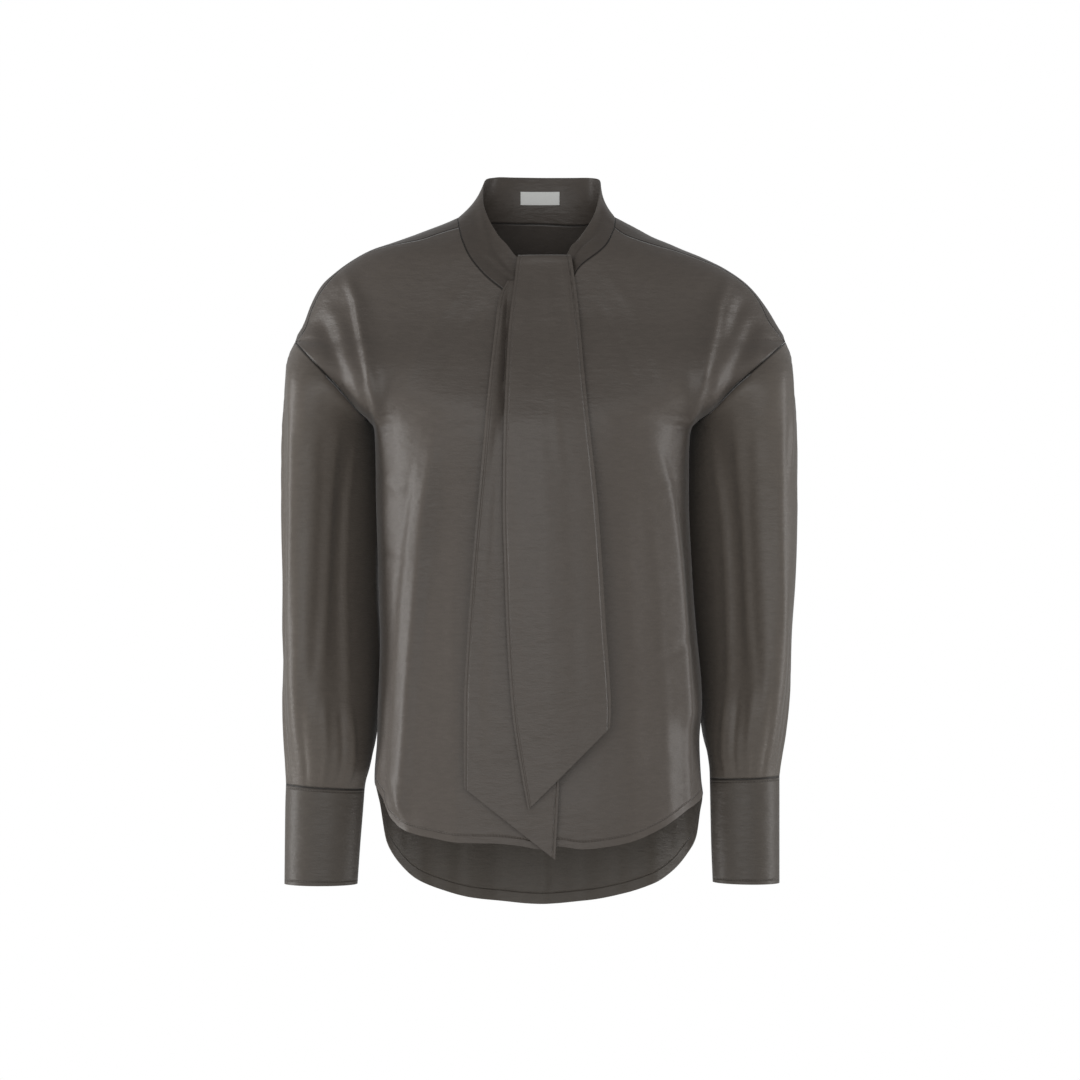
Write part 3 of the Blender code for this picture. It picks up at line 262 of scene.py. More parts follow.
def folded(grid):
    """The torso's form with its folds and creases laid on."""
    p = grid.reshape(-1, 3)
    total = np.zeros(len(p))
    flat = p[:, [0, 2]]
    face = np.where(p[:, 1] < 0, -1, 1)
    for side, width, height, path in FOLDS:
        path = np.asarray(path, float)
        seg = np.diff(path, axis=0)
        length = np.linalg.norm(seg, axis=1)
        best = np.full(len(p), 1e9)
        chord = path[-1] - path[0]
        run = np.clip(((flat - path[0]) @ chord) / (chord @ chord), 0.0, 1.0)
        for i in range(len(seg)):
            t = np.clip(((flat - path[i]) @ seg[i]) / length[i] ** 2, 0.0, 1.0)
            best = np.minimum(best, np.linalg.norm(flat - (path[i] + t[:, None] * seg[i]), axis=1))
        fade = np.minimum(1.0, run / FOLD_START)
        if path[-1, 1] > SHORT_FOLD_Z:
            fade = np.minimum(fade, np.maximum(0.0, (0.96 - run) / FOLD_END))
        total += np.where(face == side, height * fade * np.exp(-(best / width) ** 2), 0.0)
    total *= np.minimum(1.0, np.abs(p[:, 1]) / FLAT_FOLD_Y)
    return (p + torso_normals(p) * total[:, None]).reshape(grid.shape)


def at_xz(x, z, face):
    """Points of the torso's form at given x and z."""
    x = np.atleast_1d(np.asarray(x, float))
    z = np.atleast_1d(np.asarray(z, float))
    w, d, n = section(z, np.where(x < 0, -1, 1), face)
    y = face * d * np.maximum(0.0, 1.0 - (np.abs(x) / w) ** n) ** (1.0 / n)
    return np.stack([x, y, z], axis=1)


def at_xy(xy):
    """Points of the torso's form at given x and y."""
    lo = np.full(len(xy), TORSO_LOW)
    hi = np.full(len(xy), TORSO_TOP)
    for _ in range(HALVINGS):
        mid = 0.5 * (lo + hi)
        out = outside(np.column_stack([xy, mid])) > 0.0
        hi = np.where(out, mid, hi)
        lo = np.where(out, lo, mid)
    return np.column_stack([xy, 0.5 * (lo + hi)])


def half_section(z, face):
    """Half section at a height, to a quarter millimetre: x, y and the share across."""
    return cut_section(round(z * 4.0) / 4.0, face)


@functools.cache
def cut_section(z, face):
    a = np.linspace(math.pi, 0.0, CUT_POINTS)
    c = np.cos(a)
    s = np.sin(a)
    wl, d, n = (float(v) for v in section(z, -1, face))
    wr = float(section(z, 1, face)[0])
    x = np.where(c < 0, -wl, wr) * np.abs(c) ** (2.0 / n)
    y = face * d * np.abs(s) ** (2.0 / n)
    edges = []
    for side in (-1, 1):
        x1, z1, x2, z2 = ARMHOLE[side][:4]
        if z2 < z < z1:
            edges.append(x1 + (x2 - x1) * (z1 - z) / (z1 - z2))
        elif z >= z1:
            edges.append(x1)
        else:
            edges.append(side * (wl if side < 0 else wr))
    run = np.concatenate([[0.0], np.cumsum(np.hypot(np.diff(x), np.diff(y)))])
    cloth = run / run[-1]
    straight = np.clip((x - edges[0]) / (edges[1] - edges[0]), 0.0, 1.0)
    w = min(1.0, max(0.0, (SHARE_TOP - z) / SHARE_DEPTH))
    w = w * w * (3.0 - 2.0 * w)
    return x, y, w * cloth + (1.0 - w) * straight


def share_of(x, z, face):
    xs, ys, q = half_section(z, face)
    return float(np.interp(x, xs, q))


def at_shares(plan, face):
    """Points of the torso's form at given shares across and heights."""
    flat = plan.reshape(-1, 2)
    out = np.zeros((len(flat), 3))
    for i, (q, z) in enumerate(flat):
        xs, ys, qs = half_section(z, face)
        out[i] = (np.interp(q, qs, xs), np.interp(q, qs, ys), z)
    w, d, n = section(out[:, 2], np.where(out[:, 0] < 0, -1, 1), face)
    k = ((np.abs(out[:, 0]) / w) ** n + (np.abs(out[:, 1]) / d) ** n) ** (-1.0 / n)
    out[:, 0] *= k
    out[:, 1] *= k
    return out.reshape(plan.shape[:2] + (3,))


def armhole(side):
    x1, z1, x2, z2, front, back = ARMHOLE[side]
    s = np.sin(ANGLES)
    t = 0.5 + 0.5 * np.cos(ANGLES)
    return np.stack([x1 + (x2 - x1) * t, -s * np.where(s > 0, front, back), z1 + (z2 - z1) * t], axis=1)


def coons(left, right, top, bottom, fade=1.0):
    """A grid that fills four edge curves; fade is how fast the top edge's form dies out."""
    v = np.linspace(0.0, 1.0, len(left))[:, None, None]
    u = np.linspace(0.0, 1.0, len(top))[None, :, None]
    left = left[:, None]
    right = right[:, None]
    return ((1 - u) * left + u * right
            + (1.0 - v) ** fade * (top[None] - (1 - u) * top[0] - u * top[-1])
            + v * (bottom[None] - (1 - u) * bottom[0] - u * bottom[-1]))


def grid_normals(grid, closed=False):
    du = np.roll(grid, -1, axis=1) - np.roll(grid, 1, axis=1) if closed else np.gradient(grid, axis=1)
    return unit(np.cross(np.gradient(grid, axis=0), du))


def facing(half, row, col, axis, sign):
    """Turns a grid of normals so that the one at row and col points to one side."""
    return half if half[row, col, axis] * sign > 0.0 else -half


def mitre(n1, n2):
    """Wall directions where two pieces meet at an angle."""
    both = unit(n1 + n2)
    turn = np.clip((both * n1).sum(axis=1), MITRE_LIMIT, 1.0)
    return both / turn[:, None]


def both_ways(k1, k2):
    """The move that clears two edges at their corner."""
    dot = np.clip((k1 * k2).sum(axis=-1, keepdims=True), CORNER_LIMIT, 1.0)
    return (k1 + k2) / (1.0 + dot)


def clearance(points, half, inside, closed=False):
    """Directions from an edge into its own piece, at right angles to the edge."""
    after = np.roll(points, -1, axis=0)
    into = np.roll(inside, -1, axis=0) + inside - after - points
    k = unit(np.cross(after - points, np.roll(half, -1, axis=0) + half))
    k = k * np.sign((into * k).sum(axis=1))[:, None]
    if closed:
        return both_ways(np.roll(k, 1, axis=0), k)
    return both_ways(np.vstack([k[:1], k[:-1]]), np.vstack([k[:-1], k[-2:-1]]))


EDGES = {"left": np.s_[:, 0], "right": np.s_[:, -1], "top": np.s_[0, :], "bottom": np.s_[-1, :]}


def edge_steps(grid, half, edges, closed=False):
    """Moves of the sewn edges, half of the seam gap back into the piece."""
    step = np.zeros_like(grid)
    rows, cols = grid.shape[:2]
    down = np.minimum(np.arange(rows) + INNER_CELL, rows - 1)
    over = np.arange(cols) if closed else np.clip(np.arange(cols), INNER_CELL, cols - INNER_CELL - 1)
    inside = {"top": np.s_[INNER_CELL, over], "bottom": np.s_[-INNER_CELL - 1, over],
              "left": np.s_[down, INNER_CELL], "right": np.s_[down, -INNER_CELL - 1]}
    for edge in edges:
        where = EDGES[edge]
        move = clearance(grid[where], half[where], grid[inside[edge]], closed)
        now = step[where]
        used = np.linalg.norm(now, axis=1) > 0.0
        step[where] = np.where(used[:, None], both_ways(now, move), move)
    return step * SEAM_GAP / 2.0


def lengths(grid, axis, closed=False):
    """Millimetres run along the cloth, across (axis 1) or down (axis 0)."""
    if axis == 1 and closed:
        grid = np.concatenate([grid, grid[:, :1]], axis=1)
    d = np.linalg.norm(np.diff(grid, axis=axis), axis=2)
    start = np.zeros((grid.shape[0], 1)) if axis == 1 else np.zeros((1, grid.shape[1]))
    return np.concatenate([start, np.cumsum(d, axis=axis)], axis=axis)


def cloth_piece(name, node, material, grid, half, thick=WALL, closed=False, hem=None, sewn=()):
    """One cut piece of cloth as a closed wall. hem holds each point's distance from its finished edge."""
    rows, cols = grid.shape[:2]
    step = edge_steps(grid, half, sewn, closed)
    outer = (grid + step + half * thick / 2.0).reshape(-1, 3)
    inner = (grid + step - half * thick / 2.0).reshape(-1, 3)
    verts = np.vstack([outer, inner]) * 0.001
    base = rows * cols
    span = cols if closed else cols - 1
    last = (rows - 1) * cols
    faces = []
    for j in range(span):
        k = (j + 1) % cols
        for i in range(0, last, cols):
            a = i + j
            b = i + k
            c = b + cols
            d = a + cols
            faces.append((a, d, c, b))
            faces.append((base + a, base + b, base + c, base + d))
        faces.append((j, k, base + k, base + j))
        faces.append((last + j, base + last + j, base + last + k, last + k))
    if not closed:
        for a in range(0, last, cols):
            b = a + cols - 1
            c = b + cols
            d = a + cols
            faces.append((a, base + a, base + d, d))
            faces.append((b, c, base + c, base + b))
    mesh = bpy.data.meshes.new(name)
    mesh.from_pydata(verts.tolist(), [], faces)
    mesh.update()
    p1, p2, p3, p4 = verts[np.array(faces)].transpose(1, 0, 2)
    volume = (p1 * (np.cross(p2, p3) + np.cross(p3, p4))).sum()
    if volume < 0.0:
        mesh.flip_normals()
    across = lengths(grid, 1, closed)[:, :cols]
    down = lengths(grid, 0)
    far = np.full((rows, cols), FAR_MM)
    seam = {"top": down, "bottom": down[-1:] - down, "left": across, "right": across[:, -1:] - across}
    values = {"across_mm": across, "down_mm": down, "hem_mm": far if hem is None else hem,
              "seam_mm": np.min([far] + [seam[edge] for edge in sewn], axis=0)}
    for key, value in values.items():
        layer = mesh.attributes.new(key, "FLOAT", "POINT")
        layer.data.foreach_set("value", np.concatenate([value.ravel(), value.ravel()]).astype(float))
    mesh.shade_smooth()
    mesh.set_sharp_from_angle(angle=math.radians(SHARP_DEG))
    obj = bpy.data.objects.new(name, mesh)
    bpy.context.scene.collection.objects.link(obj)
    mesh.materials.append(material)
    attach(obj, "root")
    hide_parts(node)
    return obj


def colour(hex_code):
    rgb = [int(hex_code[i:i + 2], 16) / 255.0 for i in (0, 2, 4)]
    return tuple(c / 12.92 if c <= 0.04045 else ((c + 0.055) / 1.055) ** 2.4 for c in rgb) + (1.0,)


def add(tree, kind, inputs, output=0, **settings):
    """Adds a node and gives one output. An input is a plain value or another node's socket."""
    node = tree.nodes.new(kind)
    for key, value in settings.items():
        setattr(node, key, value)
    for key, value in inputs.items():
        if isinstance(value, bpy.types.NodeSocket):
            tree.links.new(value, node.inputs[key])
        else:
            node.inputs[key].default_value = value
    return node.outputs[output]


def place(tree, scale=None):
    """The place on the part in metres, scaled if need be."""
    where = add(tree, "ShaderNodeTexCoord", {}, "Object")
    return where if scale is None else add(tree, "ShaderNodeMapping", {0: where, 3: scale})


def stored(tree, key):
    """A measure in millimetres that cloth_piece stores at each point."""
    return add(tree, "ShaderNodeAttribute", {}, "Fac", attribute_name=key)


def maths(tree, operation, *values):
    return add(tree, "ShaderNodeMath", dict(enumerate(values)), operation=operation)


def map_range(tree, *values, kind="LINEAR"):
    return add(tree, "ShaderNodeMapRange", dict(enumerate(values)), interpolation_type=kind)


def bump(tree, height, strength, distance, under=None):
    inputs = {"Height": height, "Strength": strength, "Distance": distance}
    if under is not None:
        inputs["Normal"] = under
    return add(tree, "ShaderNodeBump", inputs)


def new_material(name, roughness):
    """A material, its node tree and the inputs of its shader."""
    mat = bpy.data.materials.new(name)
    mat.use_nodes = True
    inputs = mat.node_tree.nodes["Principled BSDF"].inputs
    inputs["Roughness"].default_value = roughness
    return mat, mat.node_tree, inputs


def satin(name, hex_code, stitch_mm=None):
    """Washed satin: soft sheen, fine crosswise crinkles, slubs, and a sewn row stitch_mm from the edge."""
    mat, tree, inputs = new_material(name, 0.46)
    crinkle = add(tree, "ShaderNodeTexNoise", {"Vector": place(tree, (95.0, 95.0, 330.0)), "Scale": 1.0,
                                               "Detail": 4.0, "Roughness": 0.62})
    slub = add(tree, "ShaderNodeTexNoise", {"Vector": place(tree, (40.0, 40.0, 120.0)), "Scale": 1.0,
                                            "Detail": 3.0})
    soft = add(tree, "ShaderNodeTexNoise", {"Vector": place(tree), "Scale": 26.0, "Detail": 2.0})
    normal = bump(tree, maths(tree, "ADD", crinkle, slub), 0.4, 0.0013)
    normal = bump(tree, soft, 0.5, 0.003, normal)
    if stitch_mm is not None:
        gap = maths(tree, "ABSOLUTE", maths(tree, "SUBTRACT", stored(tree, "hem_mm"), stitch_mm))
        groove = map_range(tree, gap, 0.0, 1.3, 0.0, 1.0)
        dash = maths(tree, "SINE", maths(tree, "MULTIPLY", stored(tree, "across_mm"), 2.1))
        line = map_range(tree, gap, 0.0, 0.5, 1.0, 0.0)
        stitch = maths(tree, "MULTIPLY", maths(tree, "MULTIPLY", dash, 0.35), line)
        normal = bump(tree, maths(tree, "ADD", groove, stitch), 0.9, 0.0009, normal)
    # the cloth dips at a seam, and the shade in the seam's groove is painted in: the colour darkens towards
    # the seam
    near = stored(tree, "seam_mm")
    normal = bump(tree, map_range(tree, near, 0.0, 2.2, 0.0, 1.0, kind="SMOOTHSTEP"), 1.0, 0.001, normal)
    # painted shade: the base colour falls to a quarter right at a seam
    painted_seam_shade = map_range(tree, near, 0.2, 1.4, 0.25, 1.0)
    tint = maths(tree, "MULTIPLY", map_range(tree, crinkle, 0.3, 0.7, 0.94, 1.06), painted_seam_shade)
    base = add(tree, "ShaderNodeRGB", {})
    base.default_value = colour(hex_code)
    shade = add(tree, "ShaderNodeVectorMath", {0: base, "Scale": tint}, operation="SCALE")
    tree.links.new(normal, inputs["Normal"])
    tree.links.new(shade, inputs["Base Color"])
    inputs["Specular IOR Level"].default_value = 0.42
    inputs["Sheen Weight"].default_value = 0.22
    inputs["Sheen Roughness"].default_value = 0.35
    return mat


# The parts that the front's edges are sewn to: sleeve rings and the top edge of the collar
SLEEVE = {
    # z outer, z inner, x outer, x inner, y of the middle, half depth, lean to the back
    -1: [
        (-133, -203.5, -256.5, -179.5, 1, 74.5, 0),
        (-147, -210, -259, -173.5, 2, 75, 16),
        (-170, -223, -260, -170.5, 4, 74, 22),
        (-200, -242, -261.3, -167.5, 8, 70, 26),
        (-235, -265, -262.3, -166.5, 10, 67, 28),
        (-275, -290, -262.6, -166, 12, 64, 30),
        (-320, -325, -262.6, -166, 14, 62, 30),
        (-370, -370, -262, -166, 15, 62, 30),
        (-420, -420, -262.6, -165, 15, 63, 28),
        (-465, -465, -262.6, -164.5, 14, 64, 24),
        (-505, -505, -262.6, -168.5, 12, 61, 14),
        (-535, -536, -262.3, -171.5, 10, 55, 6),
        (-558, -561, -262, -176, 9, 47, 0),
        (-572, -577, -261.8, -180.5, 9, 39, 0),
        (-579, -584, -261.6, -181.5, 9, 35.5, 0),
    ],
    1: [
        (-132, -204.5, 256, 165.5, 1, 74.5, 0),
        (-146, -211, 258, 158.5, 2, 75, 16),
        (-168, -224, 259.2, 155, 4, 74, 22),
        (-200, -242, 261.3, 152.5, 8, 70, 26),
        (-235, -265, 262.3, 151, 10, 67, 28),
        (-275, -290, 262.5, 151, 12, 64, 31),
        (-320, -325, 262.2, 152, 14, 62, 33),
        (-370, -370, 261, 154.5, 15, 62, 33),
        (-420, -420, 258, 159, 15, 62, 30),
        (-462, -462, 256, 164, 14, 60, 24),
        (-500, -500, 253.3, 167, 12, 57, 14),
        (-530, -530, 250.7, 170, 10, 51, 6),
        (-550, -552, 248.6, 174, 9, 44, 0),
        (-564, -566, 247, 175.6, 9, 37, 0),
        (-571, -573, 246.6, 175.8, 9, 34, 0),
    ],
}
COLLAR_TOP = [(2, 57, 50.6), (-26, 55, 50.8), (-47, 45, 50), (-57, 22, 43.5), (-58.5, -10, 22),
              (-54.2, -32, 4.6), (-42.7, -50, -17.3), (-34, -56.5, -27), (-23.5, -62.3, -40.5),
              (-14, -64.5, -42.7), (0, -65.5, -42.7), (14, -64.5, -42.7), (25, -62, -40.5),
              (32.5, -57, -28), (39.5, -52, -21), (52.5, -36, -0.9), (59, -18, 16.5), (62, 8, 36),
              (61, 28, 46), (52.1, 46, 49.6), (30, 55, 50.4)]
SLEEVE_STEPS = 66
COLLAR_STEPS = 18
COLLAR_WAIST = 3.5  # how far the band draws in between its edges
COLS = 2 * SHOULDER_STEPS + NECK_STEPS
TOP_FADE = 4.5
EVEN_TURNS = 120
EVEN_COLS = 20.0
SLEEVE_HEAD = [6.0, 10.0, 14.0, 20.0, 26.0, 34.0, 42.0, 52.0, 62.0]  # first rows, in mm below the armhole


def hem_curve(rows, face):
    q = [0.0] + [share_of(x, z, face) for x, z in rows[1:-1]] + [1.0]
    want = np.linspace(0.0, 1.0, COLS + 1)
    return np.stack([want, smooth(q, [r[1] for r in rows], want)], axis=1)


def torso_panel(left, right, top, hem, face):
    """Front or back between its edges: its grid and its wall directions."""
    left_f, right_f, top_f = [np.array([(share_of(x, z, face), z) for x, y, z in edge])
                              for edge in (left, right, top)]
    top_f[0] = left_f[0]
    top_f[-1] = right_f[0]
    plan = coons(left_f, right_f, top_f, hem_curve(hem, face), TOP_FADE)
    # the rows bunch at the armpits, so they are evened out away from the edges
    edge = np.minimum(np.arange(len(top)), np.arange(len(top))[::-1]) / EVEN_COLS
    keep = 0.5 * np.clip(edge, 0.0, 1.0)[None, :, None]
    for _ in range(EVEN_TURNS):
        plan[1:-1] += keep * ((plan[:-2] + plan[2:]) / 2.0 - plan[1:-1])
    flat = at_shares(plan, face)
    flat[:, 0] = left
    flat[:, -1] = right
    flat[0] = top
    grid = folded(flat)
    return grid, seam_normals(facing(grid_normals(grid), 60, 40, 1, face), flat, ("left", "right", "top"))


def seam_normals(half, flat, edges):
    """Takes the wall directions at the given edges from the form without folds."""
    for edge in edges:
        half[EDGES[edge]] = torso_normals(flat[EDGES[edge]])
    return half


def from_hem(grid):
    """Millimetres from the lower edge, along the cloth."""
    down = lengths(grid, 0)
    return down[-1:] - down


def ring_points(row, lean=0.0):
    zo, zi, xo, xi, ym, depth = row
    c = np.cos(ANGLES)
    s = np.sin(ANGLES)
    mid = np.array([(xo + xi) / 2.0, ym, (zo + zi) / 2.0])
    arm = np.array([(xi - xo) / 2.0, 0.0, (zi - zo) / 2.0])
    reach = abs(arm[0])
    out = mid + arm * (c * math.sqrt(max(reach ** 2 - lean ** 2, 1.0)) / reach)[:, None]
    out[:, 0] -= np.sign(arm[0]) * lean * s
    out[:, 1] -= depth * s
    return out


ANGLES = np.radians(np.concatenate([np.linspace(0.0, YOKE_FRONT_ANGLE, ARM_FRONT_STEPS + 1),
                                    np.linspace(YOKE_FRONT_ANGLE, YOKE_BACK_ANGLE, ARM_TOP_STEPS + 1)[1:],
                                    np.linspace(YOKE_BACK_ANGLE, 360.0, ARM_BACK_STEPS + 1)[1:-1]]))
ARM_FLAT = {side: armhole(side) for side in (-1, 1)}
SIDE = {}
for side in (-1, 1):
    low = HEM_FRONT[0 if side < 0 else -1][1]
    heights = np.linspace(ARM_FLAT[side][0][2], low, SIDE_STEPS + 1)
    SIDE[side] = np.stack([side * section(heights, side, -1)[0], 0.0 * heights, heights], axis=1)
    SIDE[side][0] = ARM_FLAT[side][0]


def sleeve_form(side):
    """The sleeve as rings, from the armhole to the cuff."""
    rows = SLEEVE[side]
    x1, z1, x2, z2, front, back = ARMHOLE[side]
    start = (z1, z2, x1, x2, 0.0, (front + back) / 2.0, 0.0)
    key = [0.0] + [(z1 + z2) / 2.0 - (r[0] + r[1]) / 2.0 for r in rows]
    cols = [[start[i]] + [r[i] for r in rows] for i in range(7)]
    grid = [folded(ARM_FLAT[side])]
    for run in SLEEVE_HEAD + list(np.linspace(SLEEVE_HEAD[-1], key[-1], SLEEVE_STEPS + 1)[1:]):
        vals = [float(smooth(key, c, run)) for c in cols]
        grid.append(ring_points(vals[:6], vals[6]))
    return np.array(grid)


def outward(grid):
    """Directions out of a ring-shaped grid."""
    normal = grid_normals(grid, True)
    centre = grid.mean(axis=1, keepdims=True)
    return normal if ((grid - centre) * normal).sum() > 0 else -normal


# Seams with the yoke at both shoulders, and the neckline round the front and the back
front_l, front_r = [at_xz(*curve([tuple(ARM_FLAT[side][ARM_FRONT_STEPS][[0, 2]])] + points[1:],
                                 SHOULDER_STEPS).T, -1) for side, points in ((-1, YOKE_L), (1, YOKE_R))]
front_l[0] = ARM_FLAT[-1][ARM_FRONT_STEPS]
front_r[0] = ARM_FLAT[1][ARM_FRONT_STEPS]
line = curve(NECK_FRONT, NECK_STEPS)
neck_f = at_xz(line[:, 0], line[:, 1], -1)
neck_f[0] = front_l[-1]
neck_f[-1] = front_r[-1]
line = curve([tuple(neck_f[0][:2])] + NECK_BACK[1:-1] + [tuple(neck_f[-1][:2])], NECK_STEPS)
neck_b = at_xy(line)
neck_b[0] = neck_f[0]
neck_b[-1] = neck_f[-1]
HALF_WAY = NECK_STEPS // 2
neck_ring = np.vstack([neck_b[:HALF_WAY + 1][::-1], neck_f[1:], neck_b[HALF_WAY + 1:-1][::-1]])
top_ring = curve(COLLAR_TOP, len(neck_ring), closed=True)[:-1]
share = np.linspace(0.0, 1.0, COLLAR_STEPS + 1)[:, None, None]
collar_grid = neck_ring[None] * (1 - share) + top_ring[None] * share
away = collar_grid - collar_grid.mean(axis=1, keepdims=True)
away[:, :, 2] = 0.0
collar_grid = (collar_grid - unit(away) * COLLAR_WAIST * np.sin(math.pi * share))[::-1]
collar_grid[-1] = folded(neck_ring)
neck_joint = mitre(torso_normals(neck_ring), outward(collar_grid)[-1])
arm_joint = {}
for side in (-1, 1):
    arm_joint[side] = mitre(torso_normals(ARM_FLAT[side]), outward(sleeve_form(side))[0])

front_grid, front_half = torso_panel(np.vstack([ARM_FLAT[-1][:ARM_FRONT_STEPS + 1][::-1], SIDE[-1][1:]]),
                                     np.vstack([ARM_FLAT[1][:ARM_FRONT_STEPS + 1][::-1], SIDE[1][1:]]),
                                     np.vstack([front_l, neck_f[1:], front_r[::-1][1:]]), HEM_FRONT, -1)
for side, col in ((-1, 0), (1, -1)):
    front_half[:ARM_FRONT_STEPS + 1, col] = arm_joint[side][:ARM_FRONT_STEPS + 1][::-1]
front_half[0, SHOULDER_STEPS:SHOULDER_STEPS + NECK_STEPS + 1] = neck_joint[HALF_WAY:HALF_WAY + NECK_STEPS + 1]
front = cloth_piece("front_cloth", "front", satin("washed satin, front", "5b544e", 8.0),
                    front_grid, front_half, hem=from_hem(front_grid), sewn=("top", "left", "right"))


# Back of the blouse: one piece of the same satin, wider and about 80 mm longer than the front.
# It is gathered slightly under the yoke, and its curved hem is turned and stitched like the front's.
HEM_BACK = [(-169.5, -571.6), (-166, -600), (-159.5, -642.4), (-147.7, -665), (-128.9, -683.6),
            (-105.8, -695.6), (-74, -705.3), (-42.3, -709.5), (0, -712.7), (45.5, -709.5), (87.8, -701),
            (116.4, -690.3), (138.3, -674.9), (153.5, -655.6), (162.2, -636.2), (166, -606.5),
            (166, -584)]
MIDDLE = (-118.0, 112.0)  # x of the columns that run down from the two ends of the neckline
TOP_END = ARM_FRONT_STEPS + ARM_TOP_STEPS
ends = (ARM_FLAT[-1][TOP_END], ARM_FLAT[1][TOP_END])
xs = np.concatenate([np.linspace(ends[0][0], MIDDLE[0], SHOULDER_STEPS + 1),
                     np.linspace(MIDDLE[0], MIDDLE[1], NECK_STEPS + 1)[1:],
                     np.linspace(MIDDLE[1], ends[1][0], SHOULDER_STEPS + 1)[1:]])
end_x = np.where(xs < 0, ends[0][0], ends[1][0])
end_z = np.where(xs < 0, ends[0][2], ends[1][2])
back_seam = at_xz(xs, YOKE_BACK_Z + (end_z - YOKE_BACK_Z) * np.abs(xs / end_x) ** 3, 1)
back_seam[0] = ends[0]
back_seam[-1] = ends[1]
arm_back = {side: np.vstack([ARM_FLAT[side][TOP_END:], ARM_FLAT[side][:1]]) for side in (-1, 1)}
back_grid, back_half = torso_panel(np.vstack([arm_back[-1], SIDE[-1][1:]]),
                                   np.vstack([arm_back[1], SIDE[1][1:]]), back_seam, HEM_BACK, 1)
for side, col in ((-1, 0), (1, -1)):
    back_half[:ARM_BACK_STEPS + 1, col] = np.vstack([arm_joint[side][TOP_END:], arm_joint[side][:1]])
back = cloth_piece("back_cloth", "back", satin("washed satin, back", "5a544d", 12.0),
                   back_grid, back_half, hem=from_hem(back_grid), sewn=("top", "left", "right"))


# Yoke over both shoulders: one piece of satin, its front seams lie forward of the shoulder line.
# All four of its seams are pressed flat.
yoke_top = np.vstack([front_l, neck_b[1:], front_r[::-1][1:]])
arm_top = {side: ARM_FLAT[side][ARM_FRONT_STEPS:TOP_END + 1] for side in (-1, 1)}
yoke_plan = coons(arm_top[-1][:, :2], arm_top[1][:, :2], yoke_top[:, :2], back_seam[:, :2])
yoke_flat = at_xy(yoke_plan.reshape(-1, 2)).reshape(yoke_plan.shape[:2] + (3,))
yoke_flat[0] = yoke_top
yoke_flat[-1] = back_seam
yoke_flat[:, 0] = arm_top[-1]
yoke_flat[:, -1] = arm_top[1]
yoke_grid = folded(yoke_flat)
yoke_half = seam_normals(facing(grid_normals(yoke_grid), 10, 10, 2, 1), yoke_flat, EDGES)
for side, col in ((-1, 0), (1, -1)):
    yoke_half[:, col] = arm_joint[side][ARM_FRONT_STEPS:TOP_END + 1]
yoke_half[0, SHOULDER_STEPS:SHOULDER_STEPS + HALF_WAY + 1] = neck_joint[:HALF_WAY + 1][::-1]
yoke_half[0, SHOULDER_STEPS + HALF_WAY:SHOULDER_STEPS + NECK_STEPS + 1] = \
    np.vstack([neck_joint[:1], neck_joint[HALF_WAY + NECK_STEPS:][::-1]])
# The yoke is the same satin, but its colour is darker than the front's: painted shade that tones down its
# faces turned up to the light above.
yoke = cloth_piece("yoke_cloth", "yoke", satin("washed satin, yoke, painted shade", "534d48"),
                   yoke_grid, yoke_half, sewn=("top", "bottom", "left", "right"))


# Sleeves: one piece each, set in at the dropped shoulder and gathered into the cuff.
# The same satin, so it hangs in long soft folds with small tucks at both seams.
SLEEVE_FOLDS = {
    # angle at the top and at the bottom, half width in degrees, height, z from and to
    -1: [(200, 188, 13, 3.5, -170, -540), (236, 214, 11, -2.5, -200, -560),
         (262, 240, 15, 3.5, -220, -540), (300, 280, 14, -3, -240, -560), (60, 70, 18, 4, -200, -560),
         (110, 120, 18, -3.5, -200, -550), (150, 150, 16, 3.5, -180, -540),
         # narrow ones
         (203, 198, 3.5, 2.4, -132, -215), (212, 207, 4, -2.2, -134, -270),
         (220, 216, 3.4, 2.6, -136, -470), (246, 232, 5, 1.4, -170, -420), (270, 256, 5, -1.3, -190, -500),
         (284, 268, 5, 1.5, -190, -460), (312, 300, 6, 1.4, -230, -500), (190, 184, 4, -1.3, -200, -480),
         (222, 218, 4, 1.5, -440, -575), (250, 248, 4.5, -1.6, -470, -578), (272, 276, 4, 1.6, -500, -580),
         (292, 296, 4, -1.8, -505, -580), (306, 312, 4, 1.6, -510, -580), (204, 204, 4, -1.5, -490, -578),
         (40, 44, 6, 1.6, -180, -560), (86, 90, 6, -1.6, -180, -560), (130, 134, 6, 1.6, -170, -560),
         (20, 20, 6, 1.4, -240, -570)],
    1: [(-20, -12, 13, 3.5, -170, -540), (-52, -38, 11, -2.5, -200, -560), (-84, -66, 15, 3.5, -220, -540),
        (-118, -100, 14, -3, -240, -560), (120, 110, 18, 4, -200, -560), (66, 62, 18, -3.5, -200, -550),
        (30, 30, 16, 3.5, -180, -540),
        # narrow ones
        (-24, -18, 3.5, 2.4, -132, -220), (-35, -28, 4, -2.4, -134, -280), (-46, -52, 4, 2.4, -136, -260),
        (-66, -58, 5, 1.4, -170, -430), (-92, -80, 5, -1.3, -190, -500), (-104, -92, 5, 1.5, -190, -450),
        (-134, -124, 6, 1.4, -230, -500), (-8, -4, 4, -1.3, -200, -470), (-42, -38, 4, 1.5, -430, -566),
        (-70, -68, 4.5, -1.6, -460, -570), (-90, -94, 4, 1.6, -490, -572),
        (-110, -114, 4, -1.8, -495, -572), (-126, -130, 4, 1.5, -500, -572),
        (-24, -24, 4, -1.4, -480, -570), (140, 136, 6, 1.6, -180, -560), (92, 88, 6, -1.6, -180, -560),
        (48, 46, 6, 1.6, -170, -560), (160, 160, 6, 1.4, -240, -570)],
}
